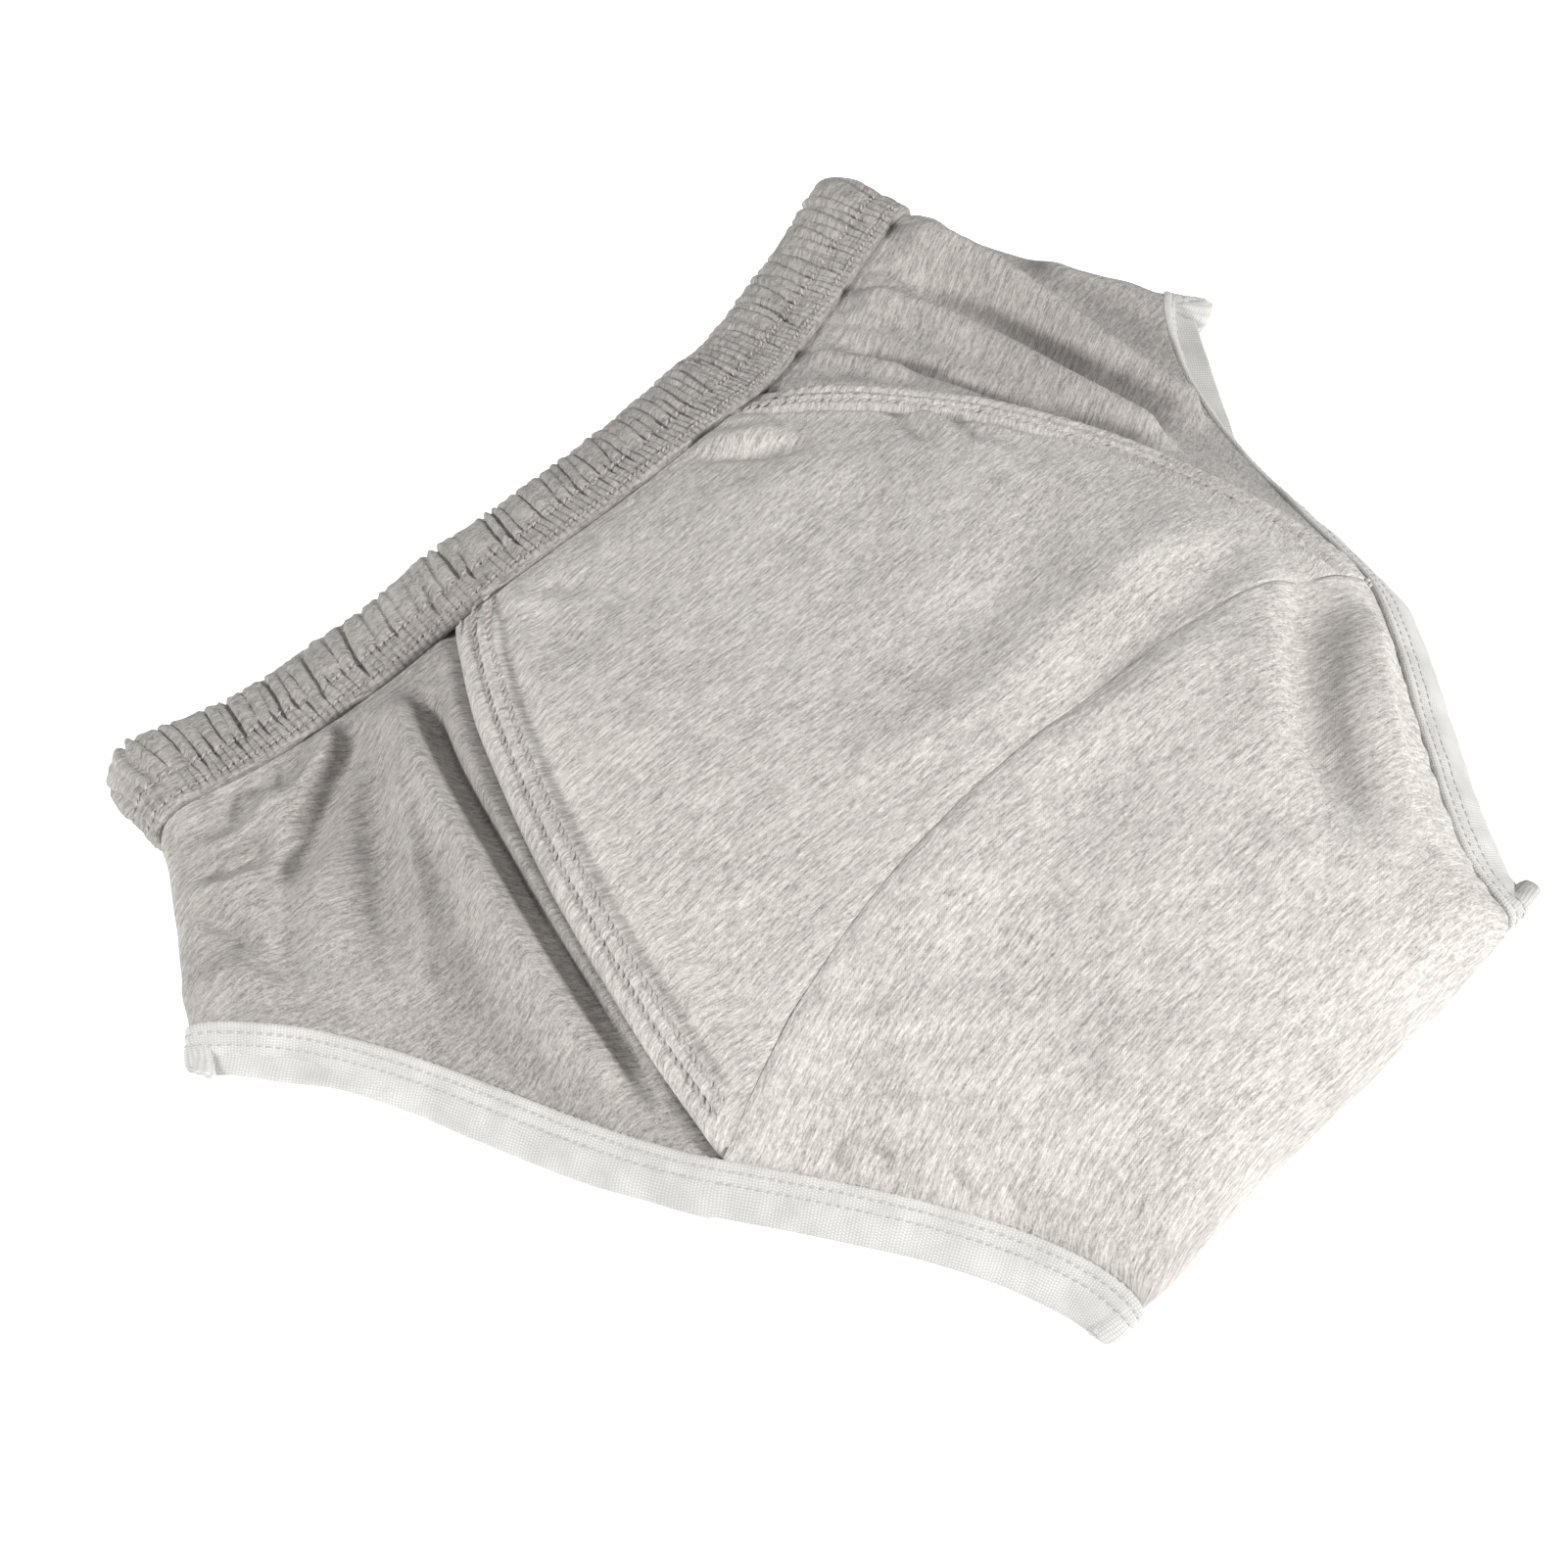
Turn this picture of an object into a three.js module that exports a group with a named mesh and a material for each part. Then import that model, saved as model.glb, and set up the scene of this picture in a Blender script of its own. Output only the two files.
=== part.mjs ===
// Child's pull-on padded shorts in cotton jersey, lying on their back with the padded front up.
// Millimetres. X runs along the waistband, +Y from the crotch to the waist, +Z up.
// The origin is on the surface that they lie on, under the middle of their outline.
import * as THREE from 'three';

// Outline, each half measured from the middle of the garment.
const waistHalf = 121; // to the fold at the hip, along the waist seam
const waistHipY = 72;
const waistFrontY = 50; // the waist seam sags between the hips
const waistFrontZ = 33;
const waistBackY = 60;
const panelWaistHalf = 47; // padded centre panel, at the front waist
const panelWaistY = 54;
const panelWaistZ = 27;
const seatWaistHalf = 60; // the same panel, at the back waist
const seatWaistY = 66;
const hemHalf = 150; // to the fold at the hip, along the leg hem
const hemY = 25;
const legFrontHalf = 104; // where the front seam reaches the leg
const legFrontY = -80;
const legFrontZ = 18;
const legBackHalf = 91;
const legBackY = -60;
const seatDip = 10; // the seat's middle lies this much nearer the crotch
const crotchHalf = 65; // narrowest, where the panel turns under
const crotchY = -161;
const toeY = -165; // the turn under, in the middle
const domeY = -74; // crotch seam, at the top of the dome
const domeZ = 59;

// How the cloth lies.
const hipRadius = 7.5; // fold at the hip, at the waist
const hemRadius = 6.5; // and at the hem
const toeRadius = 22; // turn under the crotch, in the middle
const toeEdgeRadius = 7.5; // and at the legs
const toeTopAngle = 55; // where the dome runs into that turn, in degrees above level
const toeEdgeTopAngle = 75;
const seamLift = 2.5; // back seams clear of the surface
const waistLift = 3.4;
const seatFlat = 0.45; // share of the seat's half width that lies flat
const seatLiftStart = 0.6; // share of the seat's length before it rises to the waist
const crownPower = 3.2; // how square the dome is across
const seamDip = 6; // the side panel falls away from the front seam
const hipOutAngle = 15; // the way that the hip fold faces, in plan, in degrees
const hemOutAngle = 42;
const bandLean = 0.2; // slopes of the band, as a share of its height
const bandDrop = 0.25;

// How the seams and edges bow: the curve handles at each end, outward, towards the waist, and up.
const frontSeamBow = { start: [21, -20, 7], end: [-7, 55, 18] };
const backSeamBow = { start: [0, 36, 0], end: [8, -40, 0] };
const legBow = [-12, -22, 2]; // leg edge, below the front seam
const legReturn = [-13, -36, 0]; // and short of the back seam
const domeBow = { start: [0, -20, 11], end: [0, 49, 2] }; // front waist to the top of the dome
const domeFall = [0, -26, -1]; // from the top of the dome towards the crotch
const toeEntry = 20; // length of the handles beside the turn under

// Materials' thicknesses, and the gap between pieces that touch.
const jersey = 1.0;
const padCore = 3.0;
const lining = 1.0;
const gap = 0.3;
const slotGap = 0.4; // round the cloth inside a binding
const threadGap = 0.6;
const tuck = 3; // cloth taken into a band or a binding
const padSetback = 3; // pad and lining short of a crotch or waist seam

const bandHeight = 22;
const bandWall = 1.2;
const elasticThickness = 1.4;
const bandClearance = 0.7; // on each side of the elastic, where the band curves
const bandCavity = Math.max(elasticThickness, jersey) + 2 * bandClearance;
const bindingWidth = 12;
const bindingWall = 0.8;
const threadThickness = 0.4;
const threadWidth = 0.8;
const bandRows = [2.5, 8.5]; // two needle rows, from the waist seam
const bindingRows = [1.2, 4.6]; // and from the binding's upper edge
const crotchSeamWidth = 1.0;

// Sampling of the panels.
const acrossSteps = [0, 0.2, 0.4, 0.58, 0.74, 0.86, 0.91, 0.97, 1]; // middle to edge
const padColumns = 5; // how many of those steps the pad takes up
const frontSteps = 8;
const seatSteps = [6, 6, 4, 5]; // seam to toe, round the toe, toe to leg, leg to waist
const sideRows = 8;
const sideFrontSteps = 5;
const foldSteps = 6;
const sideBackSteps = 3;

const jerseyGrey = { color: 0xc4c0ba, roughness: 0.92, metalness: 0 };
const bandGrey = { color: 0xd0ccc5, roughness: 0.9, metalness: 0 };
const bindingWhite = { color: 0xeceae4, roughness: 0.85, metalness: 0 };
const padWhite = { color: 0xe2ddd2, roughness: 0.95, metalness: 0 };
const liningCream = { color: 0xdedad1, roughness: 0.92, metalness: 0 };
const elasticWhite = { color: 0xf2f2f0, roughness: 0.7, metalness: 0 };
const threadGrey = { color: 0xb9b5ae, roughness: 0.6, metalness: 0 };
const threadWhite = { color: 0xf1efe9, roughness: 0.6, metalness: 0 };

// How far each side lies from the mean outline: outward, towards the waist, and up.
const left = { sign: -1, hip: [3, -5, 0], hem: [2, 3, 0], leg: [0, -2, 0], toe: [1, -2, 0] };
const right = { sign: 1, hip: [0, 5, 0], hem: [-1, -3, 0], leg: [1, 3, 1], toe: [-4, 7, 1] };
const sides = [left, right];

const up = new THREE.Vector3(0, 0, 1);
const vec = (x, y, z) => new THREE.Vector3(x, y, z);
const mix = (a, b, t) => a + (b - a) * t;
const along = (point, direction, distance) => point.clone().addScaledVector(direction, distance);
const outward = (side, x, y, z) => vec(side.sign * x, y, z);

function smooth(from, to, value) {
  const t = Math.min(1, Math.max(0, (value - from) / (to - from)));
  return t * t * (3 - 2 * t);
}

function bezier(a, b, c, d) {
  const curve = new THREE.CubicBezierCurve3(a, b, c, d);
  return (t) => curve.getPoint(t);
}

// A turn in an upright plane, from one angle above level to another, both in degrees.
function upright(centre, facing, radius, from, to) {
  return (t) => {
    const angle = THREE.MathUtils.degToRad(mix(from, to, t));
    return along(along(centre, facing, radius * Math.cos(angle)), up, radius * Math.sin(angle));
  };
}

// Curves joined end to end, each up to its own end value.
const chain = (...parts) => (value) => {
  const k = parts.findIndex((part) => value <= part.end);
  const start = k ? parts[k - 1].end : 0;
  return parts[k].curve((value - start) / (parts[k].end - start));
};

// Each line down the centre panel runs from the front waist at 0 to the crotch seam at 1, round
// the toe between toeStart and toeEnd, and on by the back of the leg at 3 to the back waist at 4.
const toeStart = 1.7;
const toeEnd = 2.25;
const toeFacing = vec(0, -1, 0);

function panelLine(frontSeam, crotch, bow, toe, backSeam) {
  const turn = upright(toe.centre, toeFacing, toe.radius, toe.topAngle, -90);
  const heading = turn(0.01).sub(turn(0)).normalize();
  const legBack = backSeam(0);
  const entry = along(turn(0), heading, -toeEntry);
  const exit = along(turn(1), toeFacing, -toeEntry);
  return chain(
    { end: 1, curve: frontSeam },
    { end: toeStart, curve: bezier(crotch, crotch.clone().add(bow), entry, turn(0)) },
    { end: toeEnd, curve: turn },
    { end: 3, curve: bezier(turn(1), exit, toe.exit(legBack), legBack) },
    { end: 4, curve: backSeam },
  );
}

for (const side of sides) {
  const place = (x, y, z, shift = [0, 0, 0]) => outward(side, x + shift[0], y + shift[1], z + shift[2]);
  const bowed = (from, bow, to) => bezier(from, from.clone().add(outward(side, ...bow.start)),
    to.clone().add(outward(side, ...bow.end)), to);
  side.hipPoint = place(waistHalf, waistHipY, 0, side.hip);
  side.hemPoint = place(hemHalf, hemY, 0, side.hem);
  const frontWaist = place(panelWaistHalf, panelWaistY, panelWaistZ);
  const legFront = place(legFrontHalf, legFrontY, legFrontZ, side.leg);
  const legBack = place(legBackHalf, legBackY, seamLift);
  const backWaist = place(seatWaistHalf, seatWaistY, waistLift);
  side.edge = panelLine(
    bowed(frontWaist, frontSeamBow, legFront),
    legFront,
    outward(side, ...legBow),
    {
      centre: place(crotchHalf, crotchY + toeEdgeRadius, seamLift + toeEdgeRadius, side.toe),
      radius: toeEdgeRadius,
      topAngle: toeEdgeTopAngle,
      exit: (end) => end.clone().add(outward(side, ...legReturn)),
    },
    bowed(legBack, backSeamBow, backWaist),
  );
}

const domeTop = vec(0, domeY, domeZ);
const waistMiddle = vec(0, waistFrontY, waistFrontZ);
const seatMiddle = vec(0, legBackY - seatDip, 0);
const centreLine = panelLine(
  bezier(waistMiddle, waistMiddle.clone().add(vec(...domeBow.start)),
    domeTop.clone().add(vec(...domeBow.end)), domeTop),
  domeTop,
  vec(...domeFall),
  {
    centre: vec(0, toeY + toeRadius, toeRadius),
    radius: toeRadius,
    topAngle: toeTopAngle,
    exit: (end) => end.clone().lerp(vec(0, toeY + toeRadius, 0), 1 / 3),
  },
  (t) => seatMiddle.clone().lerp(vec(0, waistBackY, 0), t),
);

// Centre panel: u runs from -1 at the left edge to 1 at the right, s down its lines.
function panelPoint(u, s) {
  const a = Math.abs(u);
  const middle = centreLine(s);
  const edge = (u < 0 ? left : right).edge(s);
  const rise = Math.max(0, (s - 3 - seatLiftStart) / (1 - seatLiftStart));
  middle.z += waistLift * rise ** 2;
  const seatCrown = Math.max(0, (a - seatFlat) / (1 - seatFlat)) ** 2;
  const crown = mix(a ** crownPower, seatCrown, smooth(toeStart, 3, s));
  return vec(edge.x * a, mix(middle.y, edge.y, a * a), mix(middle.z, edge.z, crown));
}

function panelNormal(u, s) {
  const step = 0.01;
  const du = panelPoint(Math.min(1, u + step), s).sub(panelPoint(Math.max(-1, u - step), s));
  const ds = panelPoint(u, Math.min(4, s + step)).sub(panelPoint(u, Math.max(0, s - step)));
  return ds.cross(du).normalize();
}

// Side panel: w runs from 0 at the front seam, round the hip fold between foldStart and
// foldEnd, to 1 at the back seam. t runs from 0 at the waist to 1 at the hem.
const foldStart = 0.4;
const foldEnd = 0.7;

function sidePoint(side, w, t) {
  const front = side.edge(t);
  const back = side.edge(4 - t);
  const angle = THREE.MathUtils.degToRad(mix(hipOutAngle, hemOutAngle, t));
  const facing = outward(side, Math.cos(angle), Math.sin(angle), 0);
  const radius = mix(hipRadius, hemRadius, t);
  const fold = side.hipPoint.clone().lerp(side.hemPoint, t);
  const centre = along(fold, facing, -radius).setZ(mix(waistLift, seamLift, t) + radius);
  const turn = upright(centre, facing, radius, 90, -90);
  if (w > foldEnd) return turn(1).lerp(back, (w - foldEnd) / (1 - foldEnd));
  if (w >= foldStart) return turn((w - foldStart) / (foldEnd - foldStart));
  const top = turn(0);
  const dip = front.clone().lerp(top, 1 / 3).add(vec(0, 0, -seamDip));
  const reach = front.distanceTo(top) / 3;
  return bezier(front, dip, along(top, facing, -reach), top)(w / foldStart);
}

function sideNormal(side, w, t) {
  const step = 0.004;
  const dw = sidePoint(side, Math.min(1, w + step), t).sub(sidePoint(side, Math.max(0, w - step), t));
  const dt = sidePoint(side, w, Math.min(1, t + step)).sub(sidePoint(side, w, Math.max(0, t - step)));
  return dt.cross(dw).multiplyScalar(side.sign).normalize();
}

function seamNormal(side, s) {
  const onSide = s <= 1 ? sideNormal(side, 0, s) : sideNormal(side, 1, 4 - s);
  return panelNormal(side.sign, s).add(onSide).normalize();
}

const steps = (from, to, count) =>
  Array.from({ length: count + 1 }, (_, k) => mix(from, to, k / count));
const across = [...acrossSteps.slice(1).reverse().map((u) => -u), ...acrossSteps];
const frontRows = steps(0, 1, frontSteps);
const seatRows = [
  ...steps(1, toeStart, seatSteps[0]),
  ...steps(toeStart, toeEnd, seatSteps[1]).slice(1),
  ...steps(toeEnd, 3, seatSteps[2]).slice(1),
  ...steps(3, 4, seatSteps[3]).slice(1),
];
const wrap = [
  ...steps(0, foldStart, sideFrontSteps),
  ...steps(foldStart, foldEnd, foldSteps).slice(1),
  ...steps(foldEnd, 1, sideBackSteps).slice(1),
];

// A rim is a closed loop of frames where cloth meets a band or a binding. Each holds the point
// on the cloth, the way out of the cloth (out) and the way off its outer face (normal).
function rim(samples) {
  const around = (k) => samples[(k + samples.length) % samples.length];
  samples.forEach((sample, k) => {
    const tangent = around(k + 1).point.clone().sub(around(k - 1).point).normalize();
    sample.tangent = tangent;
    sample.square = tangent.clone().cross(sample.towards).normalize();
    if (sample.square.dot(sample.surface) < 0) sample.square.negate();
  });
  samples.forEach((sample, k) => {
    const beside = around(k + 1).square.clone().add(around(k - 1).square);
    const eased = beside.addScaledVector(sample.square, 2);
    sample.normal = along(eased, sample.tangent, -eased.dot(sample.tangent)).normalize();
    sample.out = sample.normal.clone().cross(sample.tangent);
    if (sample.out.dot(sample.towards) < 0) sample.out.negate();
  });
  return samples;
}

// The band leans in towards its upper edge at the hips, and drops off the dome at the front.
function waistSample(point, surface) {
  const reach = point.x / waistHalf;
  const drop = bandDrop * Math.max(0, surface.z) * Math.max(0, 1 - reach ** 2);
  return { point, surface, towards: vec(-bandLean * reach, 1, -drop).normalize() };
}

const frontWaistRim = across.map((u) => waistSample(panelPoint(u, 0), panelNormal(u, 0)));
const backWaistRim = [...across].reverse().map((u) => waistSample(panelPoint(u, 4), panelNormal(u, 4)));
const hipRim = (side) => wrap.map((w) => waistSample(sidePoint(side, w, 0), sideNormal(side, w, 0)));
const waistRim = rim([
  ...frontWaistRim,
  ...hipRim(right).slice(1, -1),
  ...backWaistRim,
  ...hipRim(left).slice(1, -1).reverse(),
]);

// The way out of a leg opening turns from the hip to the crotch, and slopes down at the front.
const legOutAngles = { hem: -38, leg: -24, toe: -6 };
const bindingSlope = 27;

function legSample(side, point, surface, plan) {
  const angle = THREE.MathUtils.degToRad(plan);
  const slope = THREE.MathUtils.degToRad(bindingSlope * Math.max(0, surface.z));
  const flat = Math.cos(slope);
  const towards = outward(side, Math.cos(angle) * flat, Math.sin(angle) * flat, -Math.sin(slope));
  return { point, surface, towards };
}

function legRim(side) {
  const { hem, leg, toe } = legOutAngles;
  const aroundHip = wrap.map((w) => {
    const fromFold = Math.abs(w - (foldStart + foldEnd) / 2) * 2;
    return legSample(side, sidePoint(side, w, 1), sideNormal(side, w, 1), mix(hem, leg, fromFold));
  });
  const rows = seatRows.filter((s) => s > 1 && s < 3).reverse();
  const underCrotch = rows.map((s) => {
    const plan = mix(toe, leg, Math.abs(s - (toeStart + toeEnd) / 2));
    return legSample(side, panelPoint(side.sign, s), panelNormal(side.sign, s), plan);
  });
  return rim([...aroundHip, ...underCrotch]);
}

for (const side of sides) {
  side.rim = legRim(side);
  side.hipFrames = side === right
    ? waistRim.slice(across.length - 1, across.length - 1 + wrap.length)
    : [...waistRim.slice(2 * across.length + wrap.length - 3), waistRim[0]].reverse();
  side.hemFrames = side.rim.slice(0, wrap.length);
  const crotchFrames = [side.rim[0], ...side.rim.slice(wrap.length - 1).reverse()];
  const crotchRows = seatRows.filter((s) => s >= 1 && s <= 3);
  side.crotchFrame = new Map(crotchRows.map((s, k) => [s, k === 0 ? side.rim[0] : crotchFrames[k]]));
}

// Grids of cloth: rows of { point, normal } on the outer face.
const bare = (frame) => ({ point: frame.point.clone(), normal: frame.normal.clone() });
const tucked = (frame) => ({ point: along(frame.point, frame.out, tuck), normal: frame.normal.clone() });

function draw(from, towards, distance) {
  const way = towards.point.clone().sub(from.point).normalize();
  from.point.addScaledVector(way, distance);
}

function pullColumn(grid, column, neighbour, distance) {
  for (const row of grid) draw(row[column], row[neighbour], distance);
}

function pullRow(grid, row, neighbour, distance) {
  grid[row].forEach((cell, k) => draw(cell, grid[neighbour][k], distance));
}

function panelCell(u, s) {
  const edge = Math.abs(u) === 1;
  const side = u < 0 ? left : right;
  if (edge && side.crotchFrame.has(s)) return bare(side.crotchFrame.get(s));
  return { point: panelPoint(u, s), normal: edge ? seamNormal(side, s) : panelNormal(u, s) };
}

function frontGrid() {
  const grid = frontRows.map((s) => across.map((u) => panelCell(u, s)));
  grid[0] = across.map((_, k) => bare(waistRim[k]));
  grid.unshift(across.map((_, k) => tucked(waistRim[k])));
  pullColumn(grid, 0, 1, gap / 2);
  pullColumn(grid, across.length - 1, across.length - 2, gap / 2);
  pullRow(grid, grid.length - 1, grid.length - 2, gap / 2);
  return grid;
}

// Along the legs the seat's edge is tucked into the binding, and its last two columns take the
// hem line and the tucked edge. Above the legs they run along the back seam.
function seatGrid() {
  const backStart = across.length + wrap.length - 2;
  const backFrames = waistRim.slice(backStart, backStart + across.length).reverse();
  const grid = seatRows.map((s) => across.map((u) => panelCell(u, s)));
  grid[grid.length - 1] = backFrames.map(bare);
  grid.push(backFrames.map(tucked));
  grid.forEach((row, r) => {
    for (const side of sides) {
      const last = side === left ? 0 : row.length - 1;
      const frame = side.crotchFrame.get(seatRows[r]);
      if (frame && seatRows[r] < 3) {
        row[last - side.sign] = bare(frame);
        row[last] = tucked(frame);
      } else draw(row[last], row[last - side.sign], gap / 2);
    }
  });
  pullRow(grid, 0, 1, gap / 2);
  return grid;
}

function sideGrid(side) {
  const rows = steps(0, 1, sideRows);
  const grid = rows.map((t) => wrap.map((w) => {
    const point = sidePoint(side, w, t);
    if (w === 0) return { point, normal: seamNormal(side, t) };
    if (w === 1) return { point, normal: seamNormal(side, 4 - t) };
    return { point, normal: sideNormal(side, w, t) };
  }));
  grid[0] = side.hipFrames.map(bare);
  grid[grid.length - 1] = side.hemFrames.map(bare);
  grid.unshift(side.hipFrames.map(tucked));
  grid.push(side.hemFrames.map(tucked));
  pullColumn(grid, 0, 1, gap / 2);
  pullColumn(grid, wrap.length - 1, wrap.length - 2, gap / 2);
  return grid;
}

// Solids.
function solid(name, points, quads, finish) {
  const place = [];
  for (const point of points) place.push(point.x, point.y, point.z);
  let volume = 0;
  const triangles = quads.flatMap(([a, b, c, d]) => [[a, b, c], [a, c, d]]);
  for (const [a, b, c] of triangles) {
    volume += points[a].dot(points[b].clone().cross(points[c]));
  }
  const index = triangles.flatMap(([a, b, c]) => (volume > 0 ? [a, b, c] : [a, c, b]));
  const geometry = new THREE.BufferGeometry();
  geometry.setAttribute('position', new THREE.Float32BufferAttribute(place, 3));
  geometry.setIndex(index);
  geometry.computeVertexNormals();
  const mesh = new THREE.Mesh(geometry, new THREE.MeshStandardMaterial(finish));
  mesh.name = name;
  return mesh;
}

// A layer of cloth between two heights above the grid's outer face.
function layer(name, grid, top, bottom, finish) {
  const rows = grid.length;
  const columns = grid[0].length;
  const points = [top, bottom].flatMap((height) =>
    grid.flatMap((row) => row.map((cell) => along(cell.point, cell.normal, height))));
  const at = (face, r, c) => face * rows * columns + r * columns + c;
  const quads = [];
  for (let r = 0; r < rows - 1; r++) {
    for (let c = 0; c < columns - 1; c++) {
      quads.push([at(0, r, c), at(0, r, c + 1), at(0, r + 1, c + 1), at(0, r + 1, c)]);
      quads.push([at(1, r, c), at(1, r + 1, c), at(1, r + 1, c + 1), at(1, r, c + 1)]);
    }
    for (const [c, turn] of [[0, 0], [columns - 1, 1]]) {
      const wall = [at(0, r, c), at(0, r + 1, c), at(1, r + 1, c), at(1, r, c)];
      quads.push(turn ? wall.reverse() : wall);
    }
  }
  for (let c = 0; c < columns - 1; c++) {
    for (const [r, turn] of [[0, 1], [rows - 1, 0]]) {
      const wall = [at(0, r, c), at(0, r, c + 1), at(1, r, c + 1), at(1, r, c)];
      quads.push(turn ? wall.reverse() : wall);
    }
  }
  return solid(name, points, quads, finish);
}

// A closed ring of one section, whose points are [way out, height above the cloth].
function ring(name, frames, section, finish) {
  const sides = section.length;
  const points = frames.flatMap((frame) =>
    section.map(([out, height]) => along(along(frame.point, frame.out, out), frame.normal, height)));
  const quads = [];
  frames.forEach((_, k) => {
    const here = k * sides;
    const next = ((k + 1) % frames.length) * sides;
    for (let j = 0; j < sides; j++) {
      const m = (j + 1) % sides;
      quads.push([here + j, here + m, next + m, next + j]);
    }
  });
  return solid(name, points, quads, finish);
}

// A strip folded over the edge of the cloth, open towards the cloth.
function foldedSection(width, wall, slotTop, slotBottom) {
  const shoulder = width - wall;
  return [
    [0, slotTop], [shoulder, slotTop], [shoulder, slotBottom], [0, slotBottom],
    [0, slotBottom - wall], [shoulder, slotBottom - wall], [width, (slotTop + slotBottom) / 2],
    [shoulder, slotTop + wall], [0, slotTop + wall],
  ];
}

const bar = (start, width, bottom, height) =>
  [[start, bottom + height], [start + width, bottom + height], [start + width, bottom], [start, bottom]];

const bandMiddle = -jersey / 2;
const bandTop = bandMiddle + bandCavity / 2;
const bandFace = bandTop + bandWall;
const bindingFace = slotGap + bindingWall;
const elasticStart = tuck + gap * 2;
const elasticHeight = bandHeight - bandWall - gap * 2 - elasticStart;

// Pad and lining cells reuse the outer panel's grid, short of its seams.
function padGrid(grid, firstRow, lastRow) {
  const from = acrossSteps.length - 1 - padColumns;
  const cut = grid.slice(firstRow, lastRow + 1).map((row) =>
    row.slice(from, from + 2 * padColumns + 1).map((cell) => ({
      point: cell.point.clone(), normal: cell.normal.clone(),
    })));
  pullRow(cut, 0, 1, padSetback);
  pullRow(cut, cut.length - 1, cut.length - 2, padSetback);
  return cut;
}

// A run of one or two needle rows over the panel, between two columns of its grid.
function seamStitches(name, grid, firstRow, lastRow, side) {
  const outer = side === left ? 1 : across.length - 3;
  const run = grid.slice(firstRow, lastRow + 1).map((row) => row.slice(outer, outer + 2));
  return layer(name, run, gap + threadThickness, gap, threadGrey);
}

const front = frontGrid();
const seat = seatGrid();
const frontPad = padGrid(front, 1, front.length - 1);
const seatPad = padGrid(seat, 0, seat.length - 2);
const padTop = -jersey - gap;
const liningTop = padTop - padCore - gap;
const legRows = seatRows.filter((s) => s <= 3).length - 1;

// The crotch seam's thread crosses the panel on the seat's side of the joint.
function crotchThread() {
  const inner = across.length - 1;
  const line = [seat[0], seat[1]].map((row) => row.slice(2, inner - 1).map((cell) => ({
    point: cell.point.clone(), normal: cell.normal.clone(),
  })));
  line[1].forEach((cell, k) => {
    const way = cell.point.clone().sub(line[0][k].point).normalize();
    cell.point = along(line[0][k].point, way, crotchSeamWidth);
    cell.normal = line[0][k].normal.clone();
  });
  return layer('crotch_seam_thread', line, gap + threadThickness, gap, threadGrey);
}

const group = new THREE.Group();
group.add(
  layer('front_outer_panel', front, 0, -jersey, jerseyGrey),
  layer('seat_outer_panel', seat, 0, -jersey, jerseyGrey),
  layer('front_pad_core', frontPad, padTop, padTop - padCore, padWhite),
  layer('seat_pad_core', seatPad, padTop, padTop - padCore, padWhite),
  layer('front_lining', frontPad, liningTop, liningTop - lining, liningCream),
  layer('seat_lining', seatPad, liningTop, liningTop - lining, liningCream),
  crotchThread(),
  ring('waistband_casing', waistRim,
    foldedSection(bandHeight, bandWall, bandTop, bandTop - bandCavity), bandGrey),
  ring('waistband_elastic', waistRim,
    bar(elasticStart, elasticHeight, bandMiddle - elasticThickness / 2, elasticThickness), elasticWhite),
);
bandRows.forEach((start, k) => {
  const name = ['waistband_stitch_lower', 'waistband_stitch_upper'][k];
  group.add(ring(name, waistRim,
    bar(start, threadWidth, bandFace + threadGap, threadThickness), threadGrey));
});
for (const side of sides) {
  const word = side === left ? 'left' : 'right';
  group.add(
    layer(`${word}_side_panel`, sideGrid(side), 0, -jersey, jerseyGrey),
    ring(`${word}_leg_binding`, side.rim,
      foldedSection(bindingWidth, bindingWall, slotGap, -jersey - slotGap), bindingWhite),
    seamStitches(`${word}_front_seam_stitching`, front, 1, front.length - 1, side),
    seamStitches(`${word}_back_seam_stitching`, seat, legRows + 1, seat.length - 2, side),
  );
  bindingRows.forEach((start, k) => {
    const name = `${word}_leg_stitch_${['upper', 'lower'][k]}`;
    group.add(ring(name, side.rim,
      bar(start, threadWidth, bindingFace + threadGap, threadThickness), threadWhite));
  });
}

// Stand the outline's middle on the origin.
const outline = new THREE.Box3().setFromObject(group, true);
const middle = outline.getCenter(new THREE.Vector3());
group.position.set(-middle.x, -middle.y, -outline.min.z);

export default group;
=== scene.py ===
import math

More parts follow.
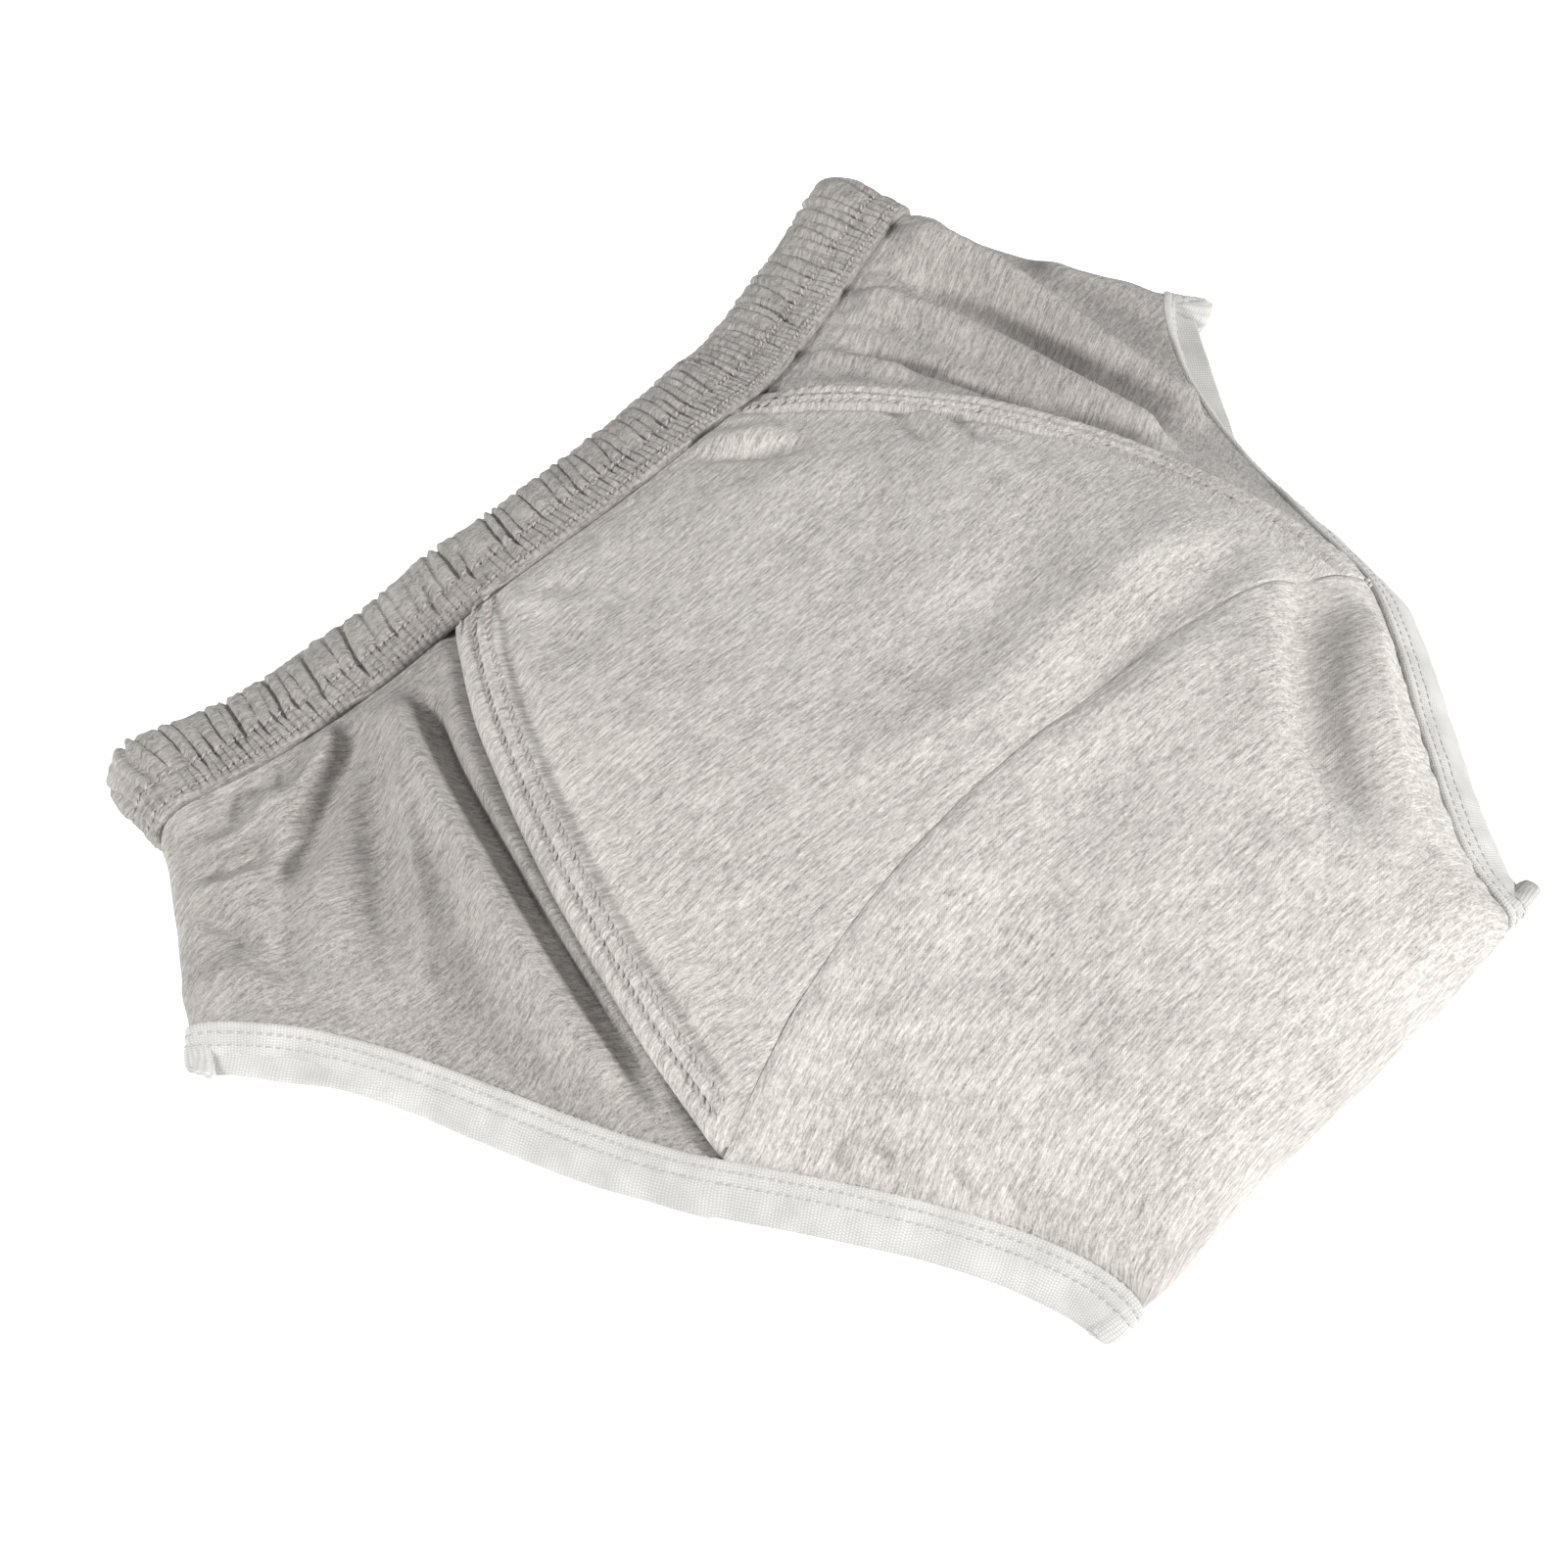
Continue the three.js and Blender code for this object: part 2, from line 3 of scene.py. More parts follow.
import bpy
import numpy as np
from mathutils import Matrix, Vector


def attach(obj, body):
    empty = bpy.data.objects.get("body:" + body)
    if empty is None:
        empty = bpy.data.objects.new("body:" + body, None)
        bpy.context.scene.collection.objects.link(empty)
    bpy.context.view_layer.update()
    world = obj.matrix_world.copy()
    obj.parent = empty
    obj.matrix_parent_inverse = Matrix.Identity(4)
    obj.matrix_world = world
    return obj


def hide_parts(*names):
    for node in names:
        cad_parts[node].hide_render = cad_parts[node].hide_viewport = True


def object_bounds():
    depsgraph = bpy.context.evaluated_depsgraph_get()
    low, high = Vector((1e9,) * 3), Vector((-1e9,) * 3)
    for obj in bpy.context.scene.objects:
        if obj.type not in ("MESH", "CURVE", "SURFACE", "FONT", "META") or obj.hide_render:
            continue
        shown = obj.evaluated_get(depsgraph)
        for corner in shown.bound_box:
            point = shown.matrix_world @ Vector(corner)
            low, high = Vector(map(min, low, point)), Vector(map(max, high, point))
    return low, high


# A child's padded pull-on shorts in heather jersey, lying on their back with the padded front up.
# The cloth is worked out in millimetres and made in metres. X runs along the waistband, +Y from
# the crotch to the waist, +Z up. Left and right are as one looks down on the padded front.
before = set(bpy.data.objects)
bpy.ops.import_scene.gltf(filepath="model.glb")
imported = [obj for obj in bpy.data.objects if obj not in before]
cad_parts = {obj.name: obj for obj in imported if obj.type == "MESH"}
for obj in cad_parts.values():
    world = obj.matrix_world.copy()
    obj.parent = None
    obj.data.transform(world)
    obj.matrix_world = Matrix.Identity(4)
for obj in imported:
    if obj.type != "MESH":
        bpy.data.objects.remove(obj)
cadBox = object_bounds()
bpy.ops.object.select_all(action="DESELECT")
mm = 0.001

# How the garment lies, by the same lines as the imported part. Lengths in mm, angles in degrees.

garment = {
    "waistHalf": 121, "waistHipY": 72,  # to the fold at the hip, along the waist seam
    "waistFrontY": 50, "waistFrontZ": 33,  # the waist seam sags between the hips
    "waistBackY": 60,
    "panelWaistHalf": 47, "panelWaistY": 54, "panelWaistZ": 27,  # padded panel at the front waist
    "seatWaistHalf": 60, "seatWaistY": 66,  # and at the back waist
    "hemHalf": 150, "hemY": 25,  # to the fold at the hip, along the leg hem
    "legFrontHalf": 104, "legFrontY": -80, "legFrontZ": 18,  # front seam meets the leg
    "legBackHalf": 91, "legBackY": -60, "seatDip": 10,
    "crotchHalf": 65, "crotchY": -161,  # narrowest, where the panel turns under
    "toeY": -165, "domeY": -74, "domeZ": 59,
    "hipRadius": 7.5, "hemRadius": 3, "toeRadius": 22, "toeEdgeRadius": 4,
    "toeTopAngle": 55, "toeEdgeTopAngle": 75,
    "seamLift": 2.5, "waistLift": 3.4,  # back seams clear of the surface
    "seatFlat": 0.45, "seatLiftStart": 0.6,
    "crownPower": 3.2,  # how square the dome is across
    "seamDip": 6,  # the side panel falls away from the front seam
    "hipOutAngle": 15, "hemOutAngle": 42,
    "bandLean": 0.2, "bandDrop": 0.25,
    "bandHeight": 22, "bindingHeight": 12,
    "toeStart": 1.7, "toeEnd": 2.25, "toeEntry": 20,
    "foldStart": 0.4, "foldEnd": 0.7,
    "legOutAngle": {"hem": -38, "leg": -24, "toe": -6}, "bindingSlope": {"left": 50, "right": 70},
}
# Each side lies a little off the mean outline: outward, towards the waist, and up.
leftSide = {"sign": -1, "word": "left", "hip": (3, -5, 0), "hem": (2, 3, 0),
            "leg": (0, -2, 0), "toe": (1, -2, 0)}
rightSide = {"sign": 1, "word": "right", "hip": (0, 5, 0), "hem": (-1, -3, 0),
             "leg": (1, 3, 1), "toe": (-4, 7, 1)}
bothSides = (leftSide, rightSide)
upward = np.array([0.0, 0.0, 1.0])
towardsToe = np.array([0.0, -1.0, 0.0])


def mix(a, b, t):
    return a + (b - a) * t


def smoothStep(start, end, value):
    t = np.clip((value - start) / (end - start), 0, 1)
    return t * t * (3 - 2 * t)


def unit(vectors):
    return vectors / np.maximum(np.linalg.norm(vectors, axis=-1, keepdims=True), 1e-9)


def bezier(a, b, c, d, t):
    t = np.asarray(t, float)[..., None]
    return (1 - t) ** 3 * a + 3 * (1 - t) ** 2 * t * b + 3 * (1 - t) * t ** 2 * c + t ** 3 * d


def uprightArc(centre, facing, radius, start, end, t):  # angles in degrees above level
    angle = np.radians(mix(start, end, np.asarray(t, float)))
    return centre + radius * (np.cos(angle)[..., None] * facing + np.sin(angle)[..., None] * upward)


def sidePoint(side, place, shift=(0, 0, 0)):
    x, y, z = np.add(place, shift)
    return np.array([side["sign"] * x, y, z], float)


# A line down the centre panel: the front waist is 0, the crotch seam 1, the turn under runs from
# toeStart to toeEnd, the back of the leg is 3 and the back waist 4.
def panelLine(frontSeam, crotch, bow, toe, backSeam):
    g = garment

    def turn(t):
        return uprightArc(toe["centre"], towardsToe, toe["radius"], toe["topAngle"], -90, t)

    heading = unit(turn(0.01) - turn(0))
    entry = turn(0) - heading * g["toeEntry"]
    leaving = turn(1) - towardsToe * g["toeEntry"]
    legBack = backSeam(0)
    spans = [
        (0, 1, frontSeam),
        (1, g["toeStart"], lambda t: bezier(crotch, crotch + bow, entry, turn(0), t)),
        (g["toeStart"], g["toeEnd"], turn),
        (g["toeEnd"], 3, lambda t: bezier(turn(1), leaving, toe["exit"](legBack), legBack, t)),
        (3, 4, backSeam),
    ]

    def line(s):
        s = np.asarray(s, float)
        points = np.zeros(s.shape + (3,))
        for start, end, curve in spans:
            here = (s >= start) & (s <= end)
            points[here] = curve((s[here] - start) / (end - start))
        return points

    return line


def bowedSeam(side, start, startBow, endBow, end):
    return lambda t: bezier(start, start + sidePoint(side, startBow), end + sidePoint(side, endBow),
                            end, t)


def layOutSide(side):
    g = garment
    side["hipPoint"] = sidePoint(side, (g["waistHalf"], g["waistHipY"], 0), side["hip"])
    side["hemPoint"] = sidePoint(side, (g["hemHalf"], g["hemY"], 0), side["hem"])
    frontWaist = sidePoint(side, (g["panelWaistHalf"], g["panelWaistY"], g["panelWaistZ"]))
    legFront = sidePoint(side, (g["legFrontHalf"], g["legFrontY"], g["legFrontZ"]), side["leg"])
    legBack = sidePoint(side, (g["legBackHalf"], g["legBackY"], g["seamLift"]))
    backWaist = sidePoint(side, (g["seatWaistHalf"], g["seatWaistY"], g["waistLift"]))
    toeCentre = (g["crotchHalf"], g["crotchY"] + g["toeEdgeRadius"], g["seamLift"] + g["toeEdgeRadius"])
    side["edge"] = panelLine(
        bowedSeam(side, frontWaist, (21, -20, 7), (-7, 55, 18), legFront),
        legFront, sidePoint(side, (-12, -22, 2)),
        {"centre": sidePoint(side, toeCentre, side["toe"]), "radius": g["toeEdgeRadius"],
         "topAngle": g["toeEdgeTopAngle"], "exit": lambda end: end + sidePoint(side, (-30, -30, 0))},
        bowedSeam(side, legBack, (0, 36, 0), (8, -40, 0), backWaist))


def layOutCentre():
    g = garment
    waist = np.array([0.0, g["waistFrontY"], g["waistFrontZ"]])
    dome = np.array([0.0, g["domeY"], g["domeZ"]])
    seat = np.array([0.0, g["legBackY"] - g["seatDip"], 0])
    backWaist = np.array([0.0, g["waistBackY"], 0])
    toe = np.array([0.0, g["toeY"] + g["toeRadius"], 0])
    return panelLine(
        lambda t: bezier(waist, waist + (0, -20, 11), dome + (0, 49, 2), dome, t),
        dome, np.array([0.0, -26, -1]),
        {"centre": toe + upward * g["toeRadius"], "radius": g["toeRadius"],
         "topAngle": g["toeTopAngle"], "exit": lambda end: mix(end, toe, 1 / 3)},
        lambda t: mix(seat, backWaist, np.asarray(t, float)[..., None]))


for garmentSide in bothSides:
    layOutSide(garmentSide)
centreLine = layOutCentre()


def panelSurface(u, s):  # u from -1 at the left edge to 1 at the right
    g = garment
    a = np.abs(u)
    middle = centreLine(s)
    edge = np.where((u < 0)[..., None], leftSide["edge"](s), rightSide["edge"](s))
    rise = np.maximum(0, (s - 3 - g["seatLiftStart"]) / (1 - g["seatLiftStart"]))
    middle[..., 2] += g["waistLift"] * rise ** 2
    seatCrown = np.maximum(0, (a - g["seatFlat"]) / (1 - g["seatFlat"])) ** 2
    crown = mix(a ** g["crownPower"], seatCrown, smoothStep(g["toeStart"], 3, s))
    return np.stack([edge[..., 0] * a, mix(middle[..., 1], edge[..., 1], a * a),
                     mix(middle[..., 2], edge[..., 2], crown)], -1)


def hipSurface(side, w, t):  # w from the front seam round the hip to the back seam, t waist to hem
    g = garment
    front, back = side["edge"](t), side["edge"](4 - t)
    angle = np.radians(mix(g["hipOutAngle"], g["hemOutAngle"], t))
    facing = np.stack([side["sign"] * np.cos(angle), np.sin(angle), 0 * angle], -1)
    radius = mix(g["hipRadius"], g["hemRadius"], t)[..., None]
    centre = mix(side["hipPoint"], side["hemPoint"], t[..., None]) - facing * radius
    centre[..., 2] = mix(g["waistLift"], g["seamLift"], t) + radius[..., 0]
    start, end = g["foldStart"], g["foldEnd"]
    top = centre + upward * radius
    bottom = centre - upward * radius
    dip = mix(front, top, 1 / 3) - upward * g["seamDip"]
    reach = np.linalg.norm(front - top, axis=-1, keepdims=True) / 3
    overFront = bezier(front, dip, top - facing * reach, top, np.clip(w / start, 0, 1))
    angle = np.radians(90 - 180 * np.clip((w - start) / (end - start), 0, 1))[..., None]
    roundHip = centre + radius * (np.cos(angle) * facing + np.sin(angle) * upward)
    underBack = mix(bottom, back, np.clip((w - end) / (1 - end), 0, 1)[..., None])
    w = w[..., None]
    return np.where(w < start, overFront, np.where(w <= end, roundHip, underBack))


def normalsOf(grid, flip=1, wrapped=False):  # grid is rows by columns by 3
    down = np.gradient(grid, axis=0)
    if wrapped:
        across = np.roll(grid, -1, 1) - np.roll(grid, 1, 1)
    else:
        across = np.gradient(grid, axis=1)
    return unit(np.cross(down, across)) * flip


fine = {
    "panelColumns": 100, "borderColumns": 34, "frontRows": 112, "seatRows": (64, 40, 62, 84),
    "sideColumns": (66, 26, 44), "sideRows": 92,
    "jersey": 0.8,  # thickness of one layer
}
lowest = 0.05 * mm  # nothing goes below the surface that the garment lies on


def steps(start, end, count):
    return np.linspace(start, end, count + 1)


def joinSteps(*runs):
    return np.concatenate([runs[0]] + [run[1:] for run in runs[1:]])


def arcLength(grid, axis):
    lengths = np.linalg.norm(np.diff(grid, axis=axis), axis=-1)
    total = np.cumsum(lengths, axis=axis)
    pad = [(0, 0), (0, 0)]
    pad[axis] = (1, 0)
    return np.pad(total, pad)


def clothUv(grid, middleColumn):  # how far along and across the knit each point is, in metres
    along = arcLength(grid, 1)
    along = softened(along - along[:, middleColumn:middleColumn + 1], 9, wrapped=False)
    down = softened(arcLength(grid, 0).T, 9, wrapped=False).T
    return np.stack([along, -down], -1) * mm


def ring(size, wrapped):
    here = np.arange(size if wrapped else size - 1)
    return here, (here + 1) % size


# A piece of cloth with a thickness: the grid's outer face, an inner face, and walls round it.
def clothPiece(name, grid, normals, thickness, uv, material, wrapped=False, flip=False):
    rows, columns = grid.shape[:2]
    inner = grid - normals * thickness
    points = np.concatenate([grid.reshape(-1, 3), inner.reshape(-1, 3)]) * mm + shift
    points[:, 2] = np.maximum(points[:, 2], lowest)
    index = np.arange(rows * columns).reshape(rows, columns)
    c0, c1 = ring(columns, wrapped)
    r0, r1 = ring(rows, False)
    count = rows * columns

    def quads(a, b, c, d):
        return np.stack([a, b, c, d], -1).reshape(-1, 4)

    def cell(rowA, rowB):
        return (index[rowA][:, c0], index[rowA][:, c1], index[rowB][:, c1], index[rowB][:, c0])

    a, b, c, d = cell(r0, r1)
    faces = [quads(a, d, c, b), quads(a + count, b + count, c + count, d + count)]
    top, bottom = index[0], index[-1]
    faces.append(quads(top[c0], top[c1], top[c1] + count, top[c0] + count))
    faces.append(quads(bottom[c1], bottom[c0], bottom[c0] + count, bottom[c1] + count))
    if not wrapped:
        start, end = index[:, 0], index[:, -1]
        faces.append(quads(start[r1], start[r0], start[r0] + count, start[r1] + count))
        faces.append(quads(end[r0], end[r1], end[r1] + count, end[r0] + count))
    faces = np.concatenate(faces)
    if flip:
        faces = faces[:, ::-1]
    uvs = uv.reshape(-1, 2)
    uvAll = np.concatenate([uvs, uvs])
    mesh = bpy.data.meshes.new(name)
    mesh.vertices.add(len(points))
    mesh.vertices.foreach_set("co", points.astype(np.float32).ravel())
    mesh.loops.add(faces.size)
    mesh.loops.foreach_set("vertex_index", faces.astype(np.int32).ravel())
    mesh.polygons.add(len(faces))
    mesh.polygons.foreach_set("loop_start", np.arange(0, faces.size, 4, dtype=np.int32))
    mesh.polygons.foreach_set("use_smooth", np.ones(len(faces), bool))
    corner = uvAll[faces].reshape(-1, 2)
    if wrapped:  # the last column's faces carry on past the end instead of running back
        size = uv[0, -1, 0] + (uv[0, -1, 0] - uv[0, -2, 0]) - uv[0, 0, 0]
        perFace = corner.reshape(-1, 4, 2)
        span = perFace[..., 0].max(1) - perFace[..., 0].min(1)
        jump = span > size / 2
        low = perFace[..., 0] < (perFace[..., 0].max(1) - size / 2)[:, None]
        perFace[..., 0] += np.where(jump[:, None] & low, size, 0)
        corner = perFace.reshape(-1, 2)
    mesh.update()
    layer = mesh.uv_layers.new(name="cloth")
    layer.data.foreach_set("uv", corner.astype(np.float32).ravel())
    mesh.materials.append(material)
    mesh.validate()
    piece = bpy.data.objects.new(name, mesh)
    bpy.context.scene.collection.objects.link(piece)
    return piece


# Height over the cloth of a fold that follows a line: steep is how much narrower its left flank
# is, as one looks along the line, and each end fades out over a share of the length.
def foldHeight(grid, normals, line, height, width, steep=1.0, fade=0.3, crest=2.0):
    line = smoothLine(np.asarray(line, float))
    best = np.full(grid.shape[:2], 1e9)
    side = np.zeros(grid.shape[:2])
    place = np.zeros(grid.shape[:2])
    lengths = np.linalg.norm(np.diff(line, axis=0), axis=1)
    before = np.concatenate([[0], np.cumsum(lengths)])
    for k, (a, b) in enumerate(zip(line[:-1], line[1:])):
        way = (b - a) / max(lengths[k], 1e-9)
        t = np.clip((grid - a) @ way, 0, lengths[k])
        offset = grid - (a + t[..., None] * way)
        distance = np.linalg.norm(offset, axis=-1)
        nearer = distance < best
        best = np.where(nearer, distance, best)
        side = np.where(nearer, np.sum(np.cross(normals, way) * offset, -1), side)
        place = np.where(nearer, (before[k] + t) / before[-1], place)
    flank = np.where(side > 0, width / steep, width)
    ends = smoothStep(0, fade, place) * smoothStep(0, fade, 1 - place) if fade else 1.0
    return height * np.exp(-(best / flank) ** crest) * ends


def smoothLine(points, perSpan=6):  # a curve through given points
    before = np.vstack([2 * points[0] - points[1], points, 2 * points[-1] - points[-2]])
    t = np.linspace(0, 1, perSpan, endpoint=False)[:, None]
    out = []
    for k in range(len(points) - 1):
        a, b, c, d = before[k:k + 4]
        out.append(0.5 * (2 * b + (c - a) * t + (2 * a - 5 * b + 4 * c - d) * t ** 2
                          + (3 * b - a - 3 * c + d) * t ** 3))
    return np.vstack(out + [points[-1:]])


# Smooth noise along one line, or over a grid, from a fixed seed.
def noiseLine(seed, positions, pitch):
    draws = np.random.default_rng(seed).uniform(-1, 1, 4096)
    place = np.asarray(positions, float) / pitch + 1000
    k = np.floor(place).astype(int)
    t = place - k
    t = t * t * (3 - 2 * t)
    return mix(draws[k % 4096], draws[(k + 1) % 4096], t)


def noiseSheet(seed, x, y, pitch):
    draws = np.random.default_rng(seed).uniform(-1, 1, (256, 256))
    px, py = np.asarray(x) / pitch + 100, np.asarray(y) / pitch + 100
    kx, ky = np.floor(px).astype(int), np.floor(py).astype(int)
    tx, ty = px - kx, py - ky
    tx, ty = tx * tx * (3 - 2 * tx), ty * ty * (3 - 2 * ty)
    a = mix(draws[kx % 256, ky % 256], draws[(kx + 1) % 256, ky % 256], tx)
    b = mix(draws[kx % 256, (ky + 1) % 256], draws[(kx + 1) % 256, (ky + 1) % 256], tx)
    return mix(a, b, ty)


def softened(values, width, wrapped=True):  # along the first axis
    reach = int(math.ceil(width * 3))
    weights = np.exp(-(np.arange(-reach, reach + 1) / width) ** 2)
    weights /= weights.sum()
    if not wrapped:
        values = np.concatenate([values[:1].repeat(reach, 0), values, values[-1:].repeat(reach, 0)])
        return sum(w * values[k:len(values) - 2 * reach + k] for k, w in enumerate(weights))
    return sum(w * np.roll(values, reach - k, axis=0) for k, w in enumerate(weights))


# Where the rows and columns of each piece of cloth lie
acrossSteps = joinSteps(steps(-1, -0.82, fine["borderColumns"]), steps(-0.82, 0.82, fine["panelColumns"]),
                        steps(0.82, 1, fine["borderColumns"]))
frontSteps = steps(0, 1, fine["frontRows"])
seatSteps = joinSteps(steps(1, garment["toeStart"], fine["seatRows"][0]),
                      steps(garment["toeStart"], garment["toeEnd"], fine["seatRows"][1]),
                      steps(garment["toeEnd"], 3, fine["seatRows"][2]),
                      steps(3, 4, fine["seatRows"][3]))
wrapSteps = joinSteps(steps(0, garment["foldStart"], fine["sideColumns"][0]),
                      steps(garment["foldStart"], garment["foldEnd"], fine["sideColumns"][1]),
                      steps(garment["foldEnd"], 1, fine["sideColumns"][2]))
sideSteps = steps(0, 1, fine["sideRows"])


def gridOf(surface, columns, rows):
    across, down = np.meshgrid(columns, rows)
    return surface(across, down)


frontBase = gridOf(panelSurface, acrossSteps, frontSteps)
seatBase = gridOf(panelSurface, acrossSteps, seatSteps)
frontOut = normalsOf(frontBase)
seatOut = normalsOf(seatBase)
for garmentSide in bothSides:
    base = gridOf(lambda w, t, one=garmentSide: hipSurface(one, w, t), wrapSteps, sideSteps)
    garmentSide["base"] = base
    garmentSide["baseOut"] = normalsOf(base, garmentSide["sign"])


def rimOf(points, surface, towards):
    points = softened(points, 3)
    tangent = unit(np.roll(points, -1, 0) - np.roll(points, 1, 0))
    square = unit(np.cross(tangent, towards))
    square *= np.sign(np.sum(square * surface, -1, keepdims=True))
    eased = softened(square, 7)
    normal = unit(eased - tangent * np.sum(eased * tangent, -1, keepdims=True))
    out = np.cross(normal, tangent)
    out *= np.sign(np.sum(out * towards, -1, keepdims=True))
    return {"point": points, "out": out, "normal": normal}


def waistRim():
    g = garment
    left, right = leftSide, rightSide
    points = np.concatenate([frontBase[0], right["base"][0, 1:-1], seatBase[-1, ::-1],
                             left["base"][0, -2:0:-1]])
    surface = np.concatenate([frontOut[0], right["baseOut"][0, 1:-1], seatOut[-1, ::-1],
                              left["baseOut"][0, -2:0:-1]])
    reach = points[:, 0] / g["waistHalf"]
    drop = g["bandDrop"] * np.maximum(0, surface[:, 2]) * np.maximum(0, 1 - reach ** 2)
    towards = unit(np.stack([-g["bandLean"] * reach, np.ones_like(reach), -drop], -1))
    return rimOf(points, surface, towards)


legRows = np.flatnonzero((seatSteps > 1) & (seatSteps < 3))


def legRim(side):
    g = garment
    angles = g["legOutAngle"]
    edge = -1 if side["sign"] > 0 else 0
    points = np.concatenate([side["base"][-1], seatBase[legRows[::-1], edge]])
    surface = np.concatenate([side["baseOut"][-1], seatOut[legRows[::-1], edge]])
    middle = (g["foldStart"] + g["foldEnd"]) / 2
    plan = np.concatenate([
        mix(angles["hem"], angles["leg"], np.abs(wrapSteps - middle) * 2),
        mix(angles["toe"], angles["leg"],
            np.abs(seatSteps[legRows[::-1]] - (g["toeStart"] + g["toeEnd"]) / 2))])
    plan = np.radians(plan)
    slope = np.radians(g["bindingSlope"][side["word"]] * np.maximum(0, surface[:, 2]))
    towards = np.stack([side["sign"] * np.cos(plan) * np.cos(slope), np.sin(plan) * np.cos(slope),
                        -np.sin(slope)], -1)
    return rimOf(points, surface, towards)


waist = waistRim()
columnsAcross, columnsRound = len(acrossSteps), len(wrapSteps)
for garmentSide in bothSides:
    garmentSide["rim"] = legRim(garmentSide)


def rimPart(rim, picks):
    return {key: rim[key][picks] for key in rim}


def widened(rim, count):  # its first and last points again, for the cloth turned under at the sides
    return {key: np.concatenate([rim[key][:1].repeat(count, 0), rim[key],
                                 rim[key][-1:].repeat(count, 0)]) for key in rim}


# The same waist rim again, as each piece of cloth meets it.
roundRight = np.arange(columnsAcross - 1, columnsAcross - 1 + columnsRound)
backStart = columnsAcross + columnsRound - 2
roundBack = np.arange(backStart, backStart + columnsAcross)[::-1]
roundLeft = np.arange(backStart + columnsAcross - 1, backStart + columnsAcross - 1 + columnsRound)
roundLeft = (roundLeft % len(waist["point"]))[::-1]
waistOfFront = rimPart(waist, np.arange(columnsAcross))
waistOfSeat = rimPart(waist, roundBack)
rightSide["waist"] = rimPart(waist, roundRight)
leftSide["waist"] = rimPart(waist, roundLeft)


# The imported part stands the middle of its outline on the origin, so this does too.
def outlineShift():
    outer = [waist["point"] + waist["out"] * garment["bandHeight"]]
    outer += [side["rim"]["point"] + side["rim"]["out"] * garment["bindingHeight"]
              for side in bothSides]
    outer = np.concatenate(outer)
    middle = (outer.min(0) + outer.max(0)) / 2
    cadMiddle = (np.array(cadBox[0]) + np.array(cadBox[1])) / 2
    return np.array([cadMiddle[0] - middle[0] * mm, cadMiddle[1] - middle[1] * mm, 0])


shift = outlineShift()
print("outline shift, mm:", np.round(shift / mm, 2))


# Draws a grid's edge row onto its rim, easing off over a distance, and takes the cloth on into
# the band or binding.
def meetRim(grid, rim, reach=14.0):
    distance = arcLength(grid, 0)
    ease = 1 - smoothStep(0, reach, distance)
    moved = grid + (rim["point"] - grid[0])[None] * ease[..., None]
    tucked = [rim["point"] + rim["out"] * out - rim["normal"] * 0.25 for out in (3.0, 2.0, 1.0)]
    return np.concatenate([np.array(tucked), moved])


# Colours, and the size of the knit in mm
fabricLooks = {
    "jersey": {"dark": (0.2, 0.186, 0.174), "light": (0.89, 0.85, 0.805), "wale": 0.72, "course": 0.6,
               "roughness": 0.92, "depth": 0.16},
    # the same jersey made darker for the side panels: painted shade
    "sideJerseyPaintedShade": {"dark": (0.16, 0.149, 0.139), "light": (0.67, 0.637, 0.602), "wale": 0.72,
                     "course": 0.6, "roughness": 0.92, "depth": 0.16},
    # the same jersey made darker again for the gathered waistband: painted shade of its gathers
    "bandJerseyPaintedShade": {"dark": (0.14, 0.13, 0.12), "light": (0.6, 0.57, 0.538), "wale": 0.66,
                       "course": 0.6, "roughness": 0.92, "depth": 0.16},
    "lining": {"dark": (0.66, 0.63, 0.57), "light": (0.8, 0.775, 0.72), "wale": 0.72, "course": 0.6,
               "roughness": 0.93, "depth": 0.14},
}


def inputOf(group, name, kind, value):
    socket = group.interface.new_socket(name=name, in_out="INPUT", socket_type=kind)
    socket.default_value = value


def outputOf(group, name, kind):
    group.interface.new_socket(name=name, in_out="OUTPUT", socket_type=kind)


class Nodes:  # short ways to add and join nodes
    def __init__(self, tree):
        self.tree = tree

    def add(self, kind, **settings):
        node = self.tree.nodes.new(kind)
        for name, value in settings.items():
            setattr(node, name, value)
        return node

    def put(self, value, socket):
        if hasattr(value, "is_output"):
            self.tree.links.new(value, socket)
        else:
            socket.default_value = value

    def math(self, operation, *values, clamp=False):
        node = self.add("ShaderNodeMath", operation=operation, use_clamp=clamp)
        for socket, value in zip(node.inputs, values):
            self.put(value, socket)
        return node.outputs[0]

    def vector(self, operation, *values):
        node = self.add("ShaderNodeVectorMath", operation=operation)
        for socket, value in zip(node.inputs, values):
            self.put(value, socket)
        return node.outputs[0]

    def noise(self, vector, scale, detail=2.0, roughness=0.5, distortion=0.0):
        node = self.add("ShaderNodeTexNoise")
        self.put(vector, node.inputs["Vector"])
        for name, value in (("Scale", scale), ("Detail", detail), ("Roughness", roughness),
                            ("Distortion", distortion)):
            self.put(value, node.inputs[name])
        return node.outputs["Fac"]

    def ramp(self, value, *stops):
        node = self.add("ShaderNodeValToRGB")
        self.put(value, node.inputs[0])
        elements = node.color_ramp.elements
        while len(elements) < len(stops):
            elements.new(0.5)
        for element, (place, level) in zip(elements, stops):
            element.position = place
            element.color = (level, level, level, 1)
        return node.outputs["Color"]

    def blend(self, factor, a, b, mode="MIX"):
        node = self.add("ShaderNodeMix", data_type="RGBA", blend_type=mode)
        self.put(factor, node.inputs[0])
        self.put(a, node.inputs[6])
        self.put(b, node.inputs[7])
        return node.outputs[2]


def newGroup(name, inputs, outputs):
    group = bpy.data.node_groups.new(name, "ShaderNodeTree")
    for item in inputs:
        inputOf(group, *item)
    for item in outputs:
        outputOf(group, *item)
    nodes = Nodes(group)
    return group, nodes, nodes.add("NodeGroupInput").outputs, nodes.add("NodeGroupOutput").inputs


